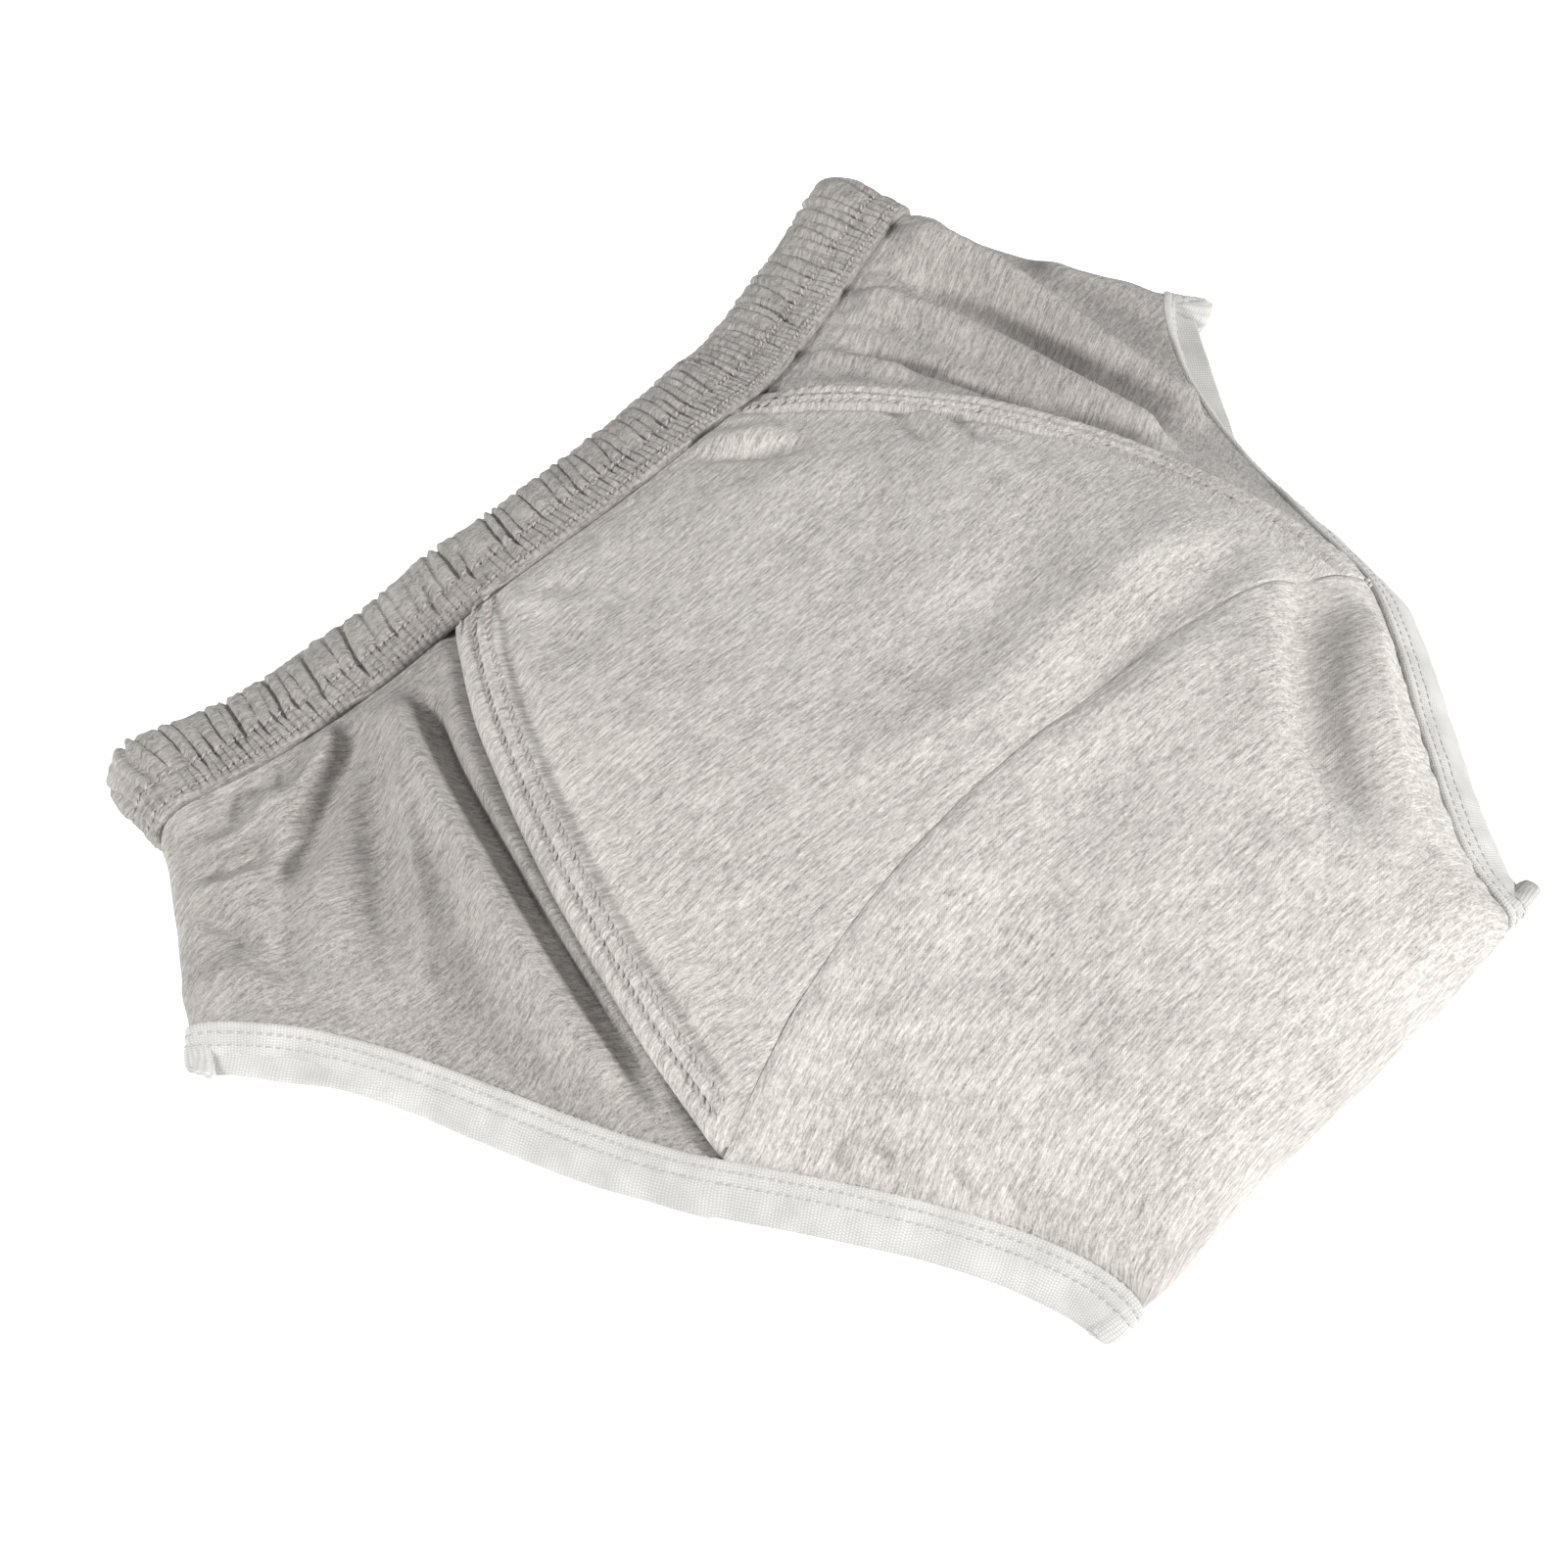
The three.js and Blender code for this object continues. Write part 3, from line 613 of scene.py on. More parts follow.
# The face of a single jersey: columns of small V stitches. X runs along the courses, in mm.
def knitGroup():
    group, nodes, given, made = newGroup(
        "knitFace",
        [("Place", "NodeSocketVector", (0, 0, 0)), ("Wale", "NodeSocketFloat", 0.72),
         ("Course", "NodeSocketFloat", 0.6)],
        [("Height", "NodeSocketFloat")])
    wobble = nodes.noise(given["Place"], 0.35, 1.0)
    wobble = nodes.math("MULTIPLY_ADD", wobble, 0.5, -0.25)
    split = nodes.add("ShaderNodeSeparateXYZ")
    nodes.put(given["Place"], split.inputs[0])
    across = nodes.math("DIVIDE", nodes.math("ADD", split.outputs[0], wobble), given["Wale"])
    across = nodes.math("PINGPONG", across, 0.5)
    across = nodes.math("MULTIPLY", across, 2.0)
    down = nodes.math("DIVIDE", nodes.math("ADD", split.outputs[1], wobble), given["Course"])
    phase = nodes.math("MULTIPLY_ADD", across, 0.55, down)
    loop = nodes.math("COSINE", nodes.math("MULTIPLY", phase, 2 * math.pi))
    loop = nodes.math("MULTIPLY_ADD", loop, 0.5, 0.5)
    leg = nodes.math("SINE", nodes.math("MULTIPLY", across, math.pi))
    nodes.put(nodes.math("MULTIPLY", nodes.math("MULTIPLY_ADD", leg, 0.65, 0.35),
                         nodes.math("MULTIPLY_ADD", loop, 0.75, 0.25)), made["Height"])
    return group


# Dark and light fibres spun together, which lie in short streaks along the courses.
def heatherGroup():
    group, nodes, given, made = newGroup(
        "heatherFibres", [("Place", "NodeSocketVector", (0, 0, 0))],
        [("Light", "NodeSocketFloat"), ("Fuzz", "NodeSocketFloat")])
    place = given["Place"]

    def streaks(along, across, detail, low, high, offset):
        moved = nodes.vector("ADD", place, (offset, offset * 2, 0))
        vector = nodes.vector("MULTIPLY", moved, (along, across, 1))
        return nodes.ramp(nodes.noise(vector, 1.0, detail, 0.55, 0.25), (low, 0), (high, 1))

    long = streaks(0.15, 1.0, 3.0, 0.36, 0.64, 0)
    short = streaks(0.45, 1.95, 2.0, 0.34, 0.66, 31)
    grain = streaks(1.25, 2.4, 1.0, 0.3, 0.7, 57)
    blotch = streaks(0.035, 0.06, 2.0, 0.35, 0.65, 83)
    flecks = streaks(0.5, 2.6, 1.0, 0.66, 0.78, 99)
    light = nodes.math("MULTIPLY", long, 0.3)
    light = nodes.math("MULTIPLY_ADD", short, 0.34, light)
    light = nodes.math("MULTIPLY_ADD", grain, 0.26, light)
    light = nodes.math("MULTIPLY_ADD", blotch, 0.1, light)
    light = nodes.math("MULTIPLY_ADD", flecks, -0.3, light, clamp=True)
    nodes.put(light, made["Light"])
    nodes.put(nodes.noise(place, 5.0, 3.0, 0.7), made["Fuzz"])
    return group


knitFace = knitGroup()
heatherFibres = heatherGroup()


def startMaterial(name, roughness, sheen):
    material = bpy.data.materials.new(name)
    material.use_nodes = True
    nodes = Nodes(material.node_tree)
    shader = material.node_tree.nodes["Principled BSDF"]
    shader.inputs["Roughness"].default_value = roughness
    shader.inputs["Specular IOR Level"].default_value = 0.2
    shader.inputs["Sheen Weight"].default_value = sheen
    shader.inputs["Sheen Roughness"].default_value = 0.5
    return material, nodes, shader


def clothPlace(nodes):  # the piece's own UV map, in millimetres
    place = nodes.add("ShaderNodeUVMap", uv_map="cloth").outputs[0]
    return nodes.vector("MULTIPLY", place, (1 / mm, 1 / mm, 0))


def useGroup(nodes, group, **values):
    node = nodes.add("ShaderNodeGroup", node_tree=group)
    for name, value in values.items():
        nodes.put(value, node.inputs[name])
    return node.outputs


def bumped(nodes, height, depth, strength, under=None):
    node = nodes.add("ShaderNodeBump")
    nodes.put(height, node.inputs["Height"])
    node.inputs["Distance"].default_value = depth * mm
    node.inputs["Strength"].default_value = strength
    if under is not None:
        nodes.put(under, node.inputs["Normal"])
    return node.outputs[0]


def jerseyMaterial(name, look):
    material, nodes, shader = startMaterial(name, look["roughness"], 0.12)
    place = clothPlace(nodes)
    fibres = useGroup(nodes, heatherFibres, Place=place)
    knit = useGroup(nodes, knitFace, Place=place, Wale=look["wale"], Course=look["course"])
    colour = nodes.blend(fibres["Light"], (*look["dark"], 1), (*look["light"], 1))
    # Painted shade: the knit's low places are darker in the colour, and the fuzz varies the tone at random.
    shade = nodes.math("MULTIPLY_ADD", knit["Height"], 0.22, 0.86)
    shade = nodes.math("MULTIPLY", shade, nodes.math("MULTIPLY_ADD", fibres["Fuzz"], 0.12, 0.94))
    grey = nodes.add("ShaderNodeCombineColor")
    for socket in grey.inputs:
        nodes.put(shade, socket)
    colour = nodes.blend(1.0, colour, grey.outputs[0], "MULTIPLY")
    nodes.put(colour, shader.inputs["Base Color"])
    fuzz = bumped(nodes, fibres["Fuzz"], 0.1, 0.5)
    nodes.put(bumped(nodes, knit["Height"], look["depth"], 0.7, fuzz), shader.inputs["Normal"])
    return material


# White rib knit: raised cells in rows, a little wider than tall, with the shade in the pits between them
# painted darker in the colour.
ribLook = {"colour": (0.75, 0.743, 0.72), "pit": (0.45, 0.443, 0.426), "pitch": 0.72, "depth": 0.12}


def bindingMaterial():
    look = ribLook
    material, nodes, shader = startMaterial("whiteRibKnit", 0.85, 0.1)
    place = clothPlace(nodes)
    split = nodes.add("ShaderNodeSeparateXYZ")
    nodes.put(place, split.inputs[0])
    wobble = nodes.math("MULTIPLY_ADD", nodes.noise(place, 0.2, 1.0), 0.6, -0.3)
    waves = []
    for axis, pitch in ((0, look["pitch"]), (1, look["pitch"] * 0.85)):
        along = nodes.math("ADD", split.outputs[axis], wobble)
        wave = nodes.math("COSINE", nodes.math("MULTIPLY", along, 2 * math.pi / pitch))
        waves.append(nodes.math("MULTIPLY_ADD", wave, 0.5, 0.5))
    cells = nodes.math("MULTIPLY", nodes.math("POWER", waves[0], 0.6), nodes.math("POWER", waves[1], 0.6))
    worn = nodes.ramp(nodes.noise(place, 0.12, 3.0), (0.3, 0.82), (0.7, 1.0))
    # Painted shade: the pits between the cells are darker than the cells.
    colour = nodes.blend(nodes.math("MULTIPLY_ADD", cells, 0.75, 0.3, clamp=True),
                         (*look["pit"], 1), (*look["colour"], 1))
    colour = nodes.blend(1.0, colour, worn, "MULTIPLY")
    nodes.put(colour, shader.inputs["Base Color"])
    fibres = bumped(nodes, nodes.noise(place, 6.0, 3.0, 0.7), 0.08, 0.4)
    nodes.put(bumped(nodes, cells, look["depth"], 0.8, fibres), shader.inputs["Normal"])
    return material


def threadMaterial(name, colour, dark):  # two plies wound round each other
    material, nodes, shader = startMaterial(name, 0.65, 0.15)
    place = nodes.add("ShaderNodeTexCoord").outputs["Object"]
    place = nodes.vector("MULTIPLY", place, (1 / mm, 1 / mm, 1 / mm))
    plies = nodes.noise(place, 3.5, 2.0, 0.6)
    tone = nodes.blend(nodes.ramp(plies, (0.35, 0), (0.65, 1)), (*dark, 1), (*colour, 1))
    nodes.put(tone, shader.inputs["Base Color"])
    nodes.put(bumped(nodes, plies, 0.08, 0.6), shader.inputs["Normal"])
    return material


def wovenMaterial(name, colour, dark, pitch, depth):  # woven tape or wadding
    material, nodes, shader = startMaterial(name, 0.9, 0.1)
    place = clothPlace(nodes)
    split = nodes.add("ShaderNodeSeparateXYZ")
    nodes.put(place, split.inputs[0])
    waves = [nodes.math("COSINE", nodes.math("MULTIPLY", split.outputs[axis], 2 * math.pi / pitch))
             for axis in (0, 1)]
    weave = nodes.math("MULTIPLY_ADD", nodes.math("MULTIPLY", *waves), 0.5, 0.5)
    lumps = nodes.noise(place, 0.3, 4.0, 0.6)
    tone = nodes.blend(nodes.math("MULTIPLY_ADD", lumps, 0.5, nodes.math("MULTIPLY", weave, 0.5)),
                       (*dark, 1), (*colour, 1))
    nodes.put(tone, shader.inputs["Base Color"])
    nodes.put(bumped(nodes, weave, depth, 0.7), shader.inputs["Normal"])
    return material


jersey = jerseyMaterial("heatherJersey", fabricLooks["jersey"])
# Darker copies of the jersey for the side panels and the waistband: painted shade.
sideJerseyPaintedShade = jerseyMaterial("sideJerseyPaintedShade", fabricLooks["sideJerseyPaintedShade"])
bandJerseyPaintedShade = jerseyMaterial("bandJerseyPaintedShade", fabricLooks["bandJerseyPaintedShade"])
liningCloth = jerseyMaterial("undyedJersey", fabricLooks["lining"])
ribKnit = bindingMaterial()
greyThread = threadMaterial("greyThread", (0.56, 0.52, 0.5), (0.36, 0.335, 0.32))
# The white thread is given a grey colour: painted shade of the sunken stitches.
whiteThreadPaintedShade = threadMaterial("whiteThreadPaintedShade", (0.56, 0.55, 0.53), (0.36, 0.352, 0.34))
wadding = wovenMaterial("cottonWadding", (0.78, 0.75, 0.69), (0.6, 0.57, 0.51), 1.6, 0.3)
elasticTape = wovenMaterial("elasticTape", (0.85, 0.85, 0.83), (0.6, 0.6, 0.58), 0.9, 0.2)
print("materials made")


# Lines are (u, s) on the panels and (w, t) on the sides. Height and width are in mm, and steep
# is how much narrower the flank on the left of the line is.
panelFolds = [
    # the bright ridge and the hollow beside the crotch seam
    {"line": [(0.86, 0.80), (0.78, 0.835), (0.60, 0.870), (0.35, 0.895), (0.01, 0.905), (-0.22, 0.89),
              (-0.46, 0.84)], "height": 3.0, "width": 8.5},
    {"line": [(0.86, 0.88), (0.70, 0.925), (0.45, 0.955), (0.20, 0.975), (-0.05, 0.985)],
     "height": -4.2, "width": 7},
    {"line": [(0.70, 0.66), (0.45, 0.72), (0.20, 0.78), (0.0, 0.80)], "height": -1.8, "width": 8},
    {"line": [(0.30, 1.15), (0.04, 1.17), (-0.12, 1.16), (-0.32, 1.13)], "height": -2.6, "width": 12},
    {"line": [(0.50, 1.04), (0.30, 1.06), (0.05, 1.07)], "height": 1.6, "width": 8},
    # the long hollow towards the toe, and the swellings beside it
    {"line": [(0.90, 0.954), (0.73, 1.136), (0.624, 1.241), (0.564, 1.34), (0.52, 1.467), (0.54, 1.555)],
     "height": -7.0, "width": 9},
    {"line": [(0.97, 1.06), (0.84, 1.20), (0.76, 1.34), (0.74, 1.5)], "height": 4.2, "width": 7},
    {"line": [(0.62, 1.06), (0.50, 1.17), (0.40, 1.30), (0.36, 1.44)], "height": 1.8, "width": 8},
    {"line": [(0.24, 1.34), (0.193, 1.384), (0.088, 1.489), (-0.148, 1.571)], "height": 1.8, "width": 11},
    {"line": [(-0.46, 1.08), (-0.519, 1.219), (-0.544, 1.312), (-0.599, 1.395), (-0.70, 1.46)],
     "height": -3.8, "width": 9},
    # tucks below the waistband
    {"line": [(0.34, 0.03), (0.40, 0.11), (0.449, 0.198), (0.56, 0.29)], "height": -2.8, "width": 3},
    {"line": [(0.44, 0.02), (0.50, 0.12), (0.60, 0.22)], "height": 1.6, "width": 5},
    {"line": [(0.25, 0.26), (0.32, 0.34), (0.424, 0.436)], "height": 1.5, "width": 9},
    {"line": [(-0.60, 0.06), (-0.50, 0.165), (-0.36, 0.21)], "height": -1.5, "width": 4},
    {"line": [(-0.72, 0.10), (-0.66, 0.22), (-0.60, 0.36)], "height": -1.3, "width": 5},
    {"line": [(0.84, 0.31), (0.75, 0.375), (0.639, 0.469)], "height": -1.7, "width": 3},
    {"line": [(0.86, 0.345), (0.78, 0.41), (0.68, 0.50)], "height": 1.3, "width": 3},
    {"line": [(0.87, 0.385), (0.80, 0.45), (0.71, 0.53)], "height": -1.4, "width": 3},
    {"line": [(0.86, 0.50), (0.76, 0.56), (0.64, 0.64)], "height": -1.2, "width": 4},
    # creases drawn up by the left leg's binding
    {"line": [(-0.79, 0.95), (-0.774, 0.995), (-0.744, 1.13), (-0.674, 1.224), (-0.639, 1.29),
              (-0.66, 1.38)], "height": 2.2, "width": 4},
    {"line": [(-0.86, 1.12), (-0.82, 1.196), (-0.764, 1.263), (-0.724, 1.318), (-0.68, 1.35)],
     "height": 1.7, "width": 1.9, "crest": 1.3},
    {"line": [(-0.93, 1.01), (-0.91, 1.06), (-0.875, 1.141), (-0.83, 1.224), (-0.789, 1.296),
              (-0.74, 1.36)], "height": 2.0, "width": 2.1, "crest": 1.3},
    {"line": [(-0.955, 1.18), (-0.93, 1.241), (-0.89, 1.318), (-0.835, 1.395), (-0.78, 1.46)],
     "height": 2.0, "width": 2.1, "crest": 1.3},
    {"line": [(-0.84, 1.09), (-0.789, 1.18), (-0.729, 1.268), (-0.69, 1.32)], "height": -2.3, "width": 2.8},
    {"line": [(-0.90, 1.10), (-0.865, 1.21), (-0.83, 1.30), (-0.77, 1.38)], "height": -2.4, "width": 3},
    {"line": [(-0.82, 1.38), (-0.75, 1.42), (-0.689, 1.434), (-0.64, 1.41)], "height": -1.8, "width": 3.4},
    {"line": [(-0.995, 1.17), (-0.965, 1.18), (-0.92, 1.17)], "height": -1.3, "width": 1.5},
    {"line": [(-0.995, 1.215), (-0.965, 1.215), (-0.92, 1.20)], "height": 1.0, "width": 1.6},
    {"line": [(-0.995, 1.26), (-0.965, 1.25), (-0.92, 1.23)], "height": -1.3, "width": 1.5},
    {"line": [(-0.995, 1.33), (-0.965, 1.31), (-0.93, 1.28)], "height": 1.0, "width": 1.8},
    {"line": [(-0.995, 1.40), (-0.965, 1.365), (-0.93, 1.33)], "height": -1.4, "width": 1.6},
    {"line": [(-0.995, 1.47), (-0.96, 1.44), (-0.92, 1.41)], "height": -1.4, "width": 1.8},
]
leftSide["folds"] = [
    # the roll beside the front seam, steep on the seam's side
    {"line": [(0.10, 0.03), (0.085, 0.18), (0.073, 0.34), (0.058, 0.52), (0.05, 0.68), (0.046, 0.82),
              (0.038, 0.93)], "height": 4.8, "width": 7.5, "steep": 3, "fade": 0.12, "crest": 1.6},
    {"line": [(0.060, 0.10), (0.050, 0.30), (0.034, 0.50), (0.026, 0.70), (0.02, 0.94)],
     "height": -5.0, "width": 2.1, "fade": 0.12},
    # pouches below the waistband
    {"line": [(0.185, 0.0), (0.205, 0.10), (0.252, 0.18), (0.31, 0.30)], "height": 3.4, "width": 3.4,
     "fade": 0.2},
    {"line": [(0.155, 0.03), (0.185, 0.14), (0.222, 0.24), (0.255, 0.36), (0.29, 0.50)],
     "height": -3.4, "width": 3.8, "fade": 0.2},
    {"line": [(0.225, 0.34), (0.245, 0.48), (0.262, 0.62), (0.27, 0.78)], "height": 2.4, "width": 5.5},
    {"line": [(0.41, 0.25), (0.37, 0.26), (0.326, 0.235), (0.264, 0.12)], "height": 2.6, "width": 2.6,
     "fade": 0.2},
    {"line": [(0.43, 0.34), (0.39, 0.345), (0.34, 0.34), (0.30, 0.27), (0.27, 0.2)],
     "height": -2.6, "width": 2.6},
    {"line": [(0.44, 0.43), (0.398, 0.43), (0.359, 0.42), (0.31, 0.38)], "height": 2.2, "width": 2.8},
    {"line": [(0.35, 0.72), (0.355, 0.64), (0.37, 0.56), (0.42, 0.52)], "height": -2.8, "width": 2.8},
    {"line": [(0.42, 0.76), (0.39, 0.785), (0.361, 0.82), (0.331, 0.90)], "height": 2.2, "width": 4},
    {"line": [(0.30, 0.62), (0.315, 0.74), (0.33, 0.86)], "height": -1.4, "width": 3.4},
    {"line": [(0.112, 0.22), (0.118, 0.414), (0.141, 0.581), (0.197, 0.83)], "height": 1.7, "width": 2.4,
     "crest": 1.4, "fade": 0.2},
    {"line": [(0.14, 0.10), (0.155, 0.31), (0.18, 0.50), (0.235, 0.78)], "height": -1.9, "width": 4},
    {"line": [(0.09, 0.40), (0.105, 0.60), (0.13, 0.86)], "height": -1.1, "width": 3},
]
rightSide["folds"] = [
    {"line": [(0.395, 0.0), (0.383, 0.09), (0.357, 0.356), (0.301, 0.61), (0.235, 0.79), (0.21, 0.95)],
     "height": 5.6, "width": 6, "steep": 2.2, "fade": 0.1},
    {"line": [(0.31, 0.06), (0.301, 0.24), (0.261, 0.47), (0.182, 0.647), (0.123, 0.76)],
     "height": -3.8, "width": 4.6, "fade": 0.15},
    {"line": [(0.232, 0.0), (0.225, 0.198), (0.185, 0.406), (0.103, 0.591), (0.06, 0.739)],
     "height": 4.6, "width": 4.2, "fade": 0.12},
    {"line": [(0.17, 0.03), (0.14, 0.14), (0.099, 0.33), (0.05, 0.50), (0.035, 0.70)],
     "height": -3.6, "width": 3.2, "fade": 0.15},
    {"line": [(0.10, 0.02), (0.085, 0.14), (0.055, 0.30)], "height": 2.2, "width": 2.6, "fade": 0.2},
    {"line": [(0.47, 0.10), (0.45, 0.35), (0.42, 0.6)], "height": -2.2, "width": 5},
    {"line": [(0.29, 0.80), (0.27, 0.90), (0.26, 1.0)], "height": -1.4, "width": 3, "fade": 0.2},
]


def foldsOver(grid, normals, folds, surface):
    total = np.zeros(grid.shape[:2])
    for fold in folds:
        line = np.array(fold["line"])
        line = surface(line[:, 0], line[:, 1])
        total += foldHeight(grid, normals, line, fold["height"], fold["width"],
                            fold.get("steep", 1.0), fold.get("fade", 0.3), fold.get("crest", 2.0))
    return total


# The padded panel has a sewn border: a raised edge, two sunk rows of stitching, a ditch, then
# the pad. Heights over the cloth at distances in from the edge, in mm.
border = {
    "at": (0, 0.7, 1.8, 3.4, 4.6, 5.4, 6.2, 7.2, 8.2, 9.0, 9.8, 11.0, 12.4, 14.0, 17.0, 21.0),
    "height": (0.3, 1.3, 2.0, 2.0, 1.35, 0.35, 1.1, 1.35, 1.0, 0.0, 0.3, -0.35, -1.3, -0.7, 0.5, 0),
    "rows": (5.4, 9.0),  # the stitching
    "underOut": (0.45, 0.5, -0.4, -2.8), "underDown": (0.35, 1.0, 1.5, 1.9),
    "pucker": 0.24, "puckerPitch": 3.1,
}


def borderProfile(distance):
    fineAt = np.linspace(0, border["at"][-1], 400)
    heights = softened(np.interp(fineAt, border["at"], border["height"]), 7, wrapped=False)
    return np.interp(distance, fineAt, heights)


def edgeDistances(grid):
    along = arcLength(grid, 1)
    return along, along[:, -1:] - along


def gathers(seed, along, distance, height, reach):  # cloth drawn up by the waistband's elastic
    swing = noiseLine(seed + 3, along[0], 17) * 3.0
    place = along + swing * distance / 20
    waves = (noiseLine(seed, place, 2.9) + 0.8 * noiseLine(seed + 1, place, 5.2))
    deep = noiseLine(seed + 2, place, 9) * np.exp(-distance / (reach * 1.8))
    return height * (waves * np.exp(-distance / reach) + 0.9 * deep)


def restless(seed, x, y, amount=1.0):  # slight, slow unevenness
    slow = noiseSheet(seed, x, y, 38) * 1.1 + noiseSheet(seed + 1, x, y, 17) * 0.42
    return amount * (slow + noiseSheet(seed + 2, x, y, 7) * 0.13)


def puckersAlong(distanceAlong, seed, pitch):
    drift = noiseLine(seed, distanceAlong, 11) * pitch * 0.45
    return np.cos(2 * math.pi * (distanceAlong + drift) / pitch)


def makePanel(base, normals, rows, isFront):
    left, right = edgeDistances(base)
    down = arcLength(base, 0)
    u, s = np.meshgrid(acrossSteps, rows)
    rise = foldsOver(base, normals, panelFolds, panelSurface)
    rise += restless(11, u * 100, s * 118)
    quiet = smoothStep(2.6, 1.9, s)  # the back lies flat
    for side, distance in ((leftSide, left), (rightSide, right)):
        seam = np.ones_like(s) if isFront else smoothStep(2.99, 3.02, s)
        ending = smoothStep(-2, 9, down[-1:] - down) if isFront else 1  # it sinks into the binding
        rise += borderProfile(distance) * seam * ending * np.where(s > 3, 0.6, 1)
        edgeLine = down[:, :1] if side is leftSide else down[:, -1:]
        wave = puckersAlong(edgeLine, 21 + side["sign"], border["puckerPitch"])
        band = smoothStep(1.0, 3.0, distance) * smoothStep(13, 8, distance)
        rise += border["pucker"] * wave * band * seam
        near = np.exp(-distance / 9)
        hem = puckersAlong(edgeLine, 31 + side["sign"], 8.5) * 0.45
        rise += hem * near * (1 - seam) * smoothStep(0, 4, distance) * quiet
        if not isFront:  # the leg edge itself lies on its rim
            rise *= 1 - (1 - seam) * smoothStep(5, 0, distance)
    if isFront:
        rise += gathers(41, np.cumsum(np.ones_like(s), 1) * 0.62, down, 0.5, 8)
        toSeam = down[-1:] - down
    else:
        toSeam = down
        waistGap = down[-1:] - down
        rise += 0.8 * gathers(45, np.cumsum(np.ones_like(s), 1) * 0.8, waistGap, 0.5, 8)
    tight = mix(0.35, 1, smoothStep(0.45, 0.0, u))  # the crotch seam is pulled flat on the right
    rise += tight * (0.45 * np.exp(-((toSeam - 4.5) / 3) ** 2) - 0.4 * np.exp(-(toSeam / 1.0) ** 2))
    rise *= mix(0.25, 1, quiet) if not isFront else 1
    return base + normals * rise[..., None]


# Takes a panel's side edges on: under itself along a seam, straight on into a binding.
def addEdges(grid, normals, rows, isFront):
    ends = {}
    for side, edge, inward in ((leftSide, 0, 1), (rightSide, -1, -2)):
        out = unit(grid[:, edge] - grid[:, inward])
        up = normals[:, edge]
        seam = np.ones(len(rows)) if isFront else smoothStep(2.985, 3.015, rows)
        strips = []
        rim = side["rim"]
        for k in range(len(border["underOut"])):
            rolled = grid[:, edge] + out * border["underOut"][k] - up * border["underDown"][k]
            if isFront:
                strips.append(rolled)
                continue
            straight = grid[:, edge].copy()
            picks = len(wrapSteps) + np.arange(len(legRows))[::-1]
            straight[legRows] = (rim["point"] + rim["out"] * (0.9 * (k + 1)) - rim["normal"] * 0.25)[picks]
            for row, pick in ((np.flatnonzero(rows <= 1)[-1], 0),
                              (np.flatnonzero(rows <= 3)[-1], len(wrapSteps) - 1)):
                straight[row] = rim["point"][pick] + rim["out"][pick] * 0.9 * (k + 1)
            strips.append(mix(straight, rolled, seam[:, None]))
        ends[side["word"]] = strips
    parts = ends["left"][::-1] + [grid[:, k] for k in range(grid.shape[1])] + ends["right"]
    return np.stack(parts, 1)


def rollUnder(grid, normals, atEnd):  # a row of cloth turned down into the crotch seam
    edge, inward = (-1, -2) if atEnd else (0, 1)
    out = unit(grid[edge] - grid[inward])
    up = normals[edge]
    rows = [grid[edge] + out * a - up * b for a, b in ((-0.02, 0.3), (-0.05, 1.0), (-0.3, 2.2))]
    lifted = grid.copy()
    lifted[edge] = grid[edge] - out * 0.06
    if atEnd:
        return np.concatenate([lifted, np.array(rows)])
    return np.concatenate([np.array(rows[::-1]), lifted])


def makeFront():
    grid = makePanel(frontBase, frontOut, frontSteps, True)
    across = addEdges(grid, frontOut, frontSteps, True)
    normals = normalsOf(across)
    rolled = rollUnder(across, normals, True)
    turned = len(border["underOut"])
    rim = widened(waistOfFront, turned)
    rim["point"] = across[0].copy()
    rim["point"][turned:-turned] = waistOfFront["point"]
    return grid, meetRim(rolled, rim)


def makeSeat():
    grid = makePanel(seatBase, seatOut, seatSteps, False)
    edge = grid.copy()
    for side, column in ((leftSide, 0), (rightSide, -1)):
        picks = len(wrapSteps) + np.arange(len(legRows))[::-1]
        away = side["rim"]["point"][picks] - grid[legRows, column]
        left, right = edgeDistances(seatBase)
        distance = (left if column == 0 else right)[legRows]
        ease = (1 - smoothStep(0, 10, distance))[..., None]
        edge[legRows] += away[:, None] * ease
    across = addEdges(edge, seatOut, seatSteps, False)
    normals = normalsOf(across)
    rolled = rollUnder(across, normals, False)
    turned = len(border["underOut"])
    rim = widened(waistOfSeat, turned)
    rim["point"] = across[-1].copy()
    rim["point"][turned:-turned] = waistOfSeat["point"]
    return grid, meetRim(rolled[::-1], rim)[::-1]


sideCloth = {
    "foldGain": 1.25,  # over the heights in the lists of folds
    "under": 2.9,  # its edges lie this far below the borders of the centre panels
    "underWaist": 2.6,  # and below the centre panels where they meet the waistband
}


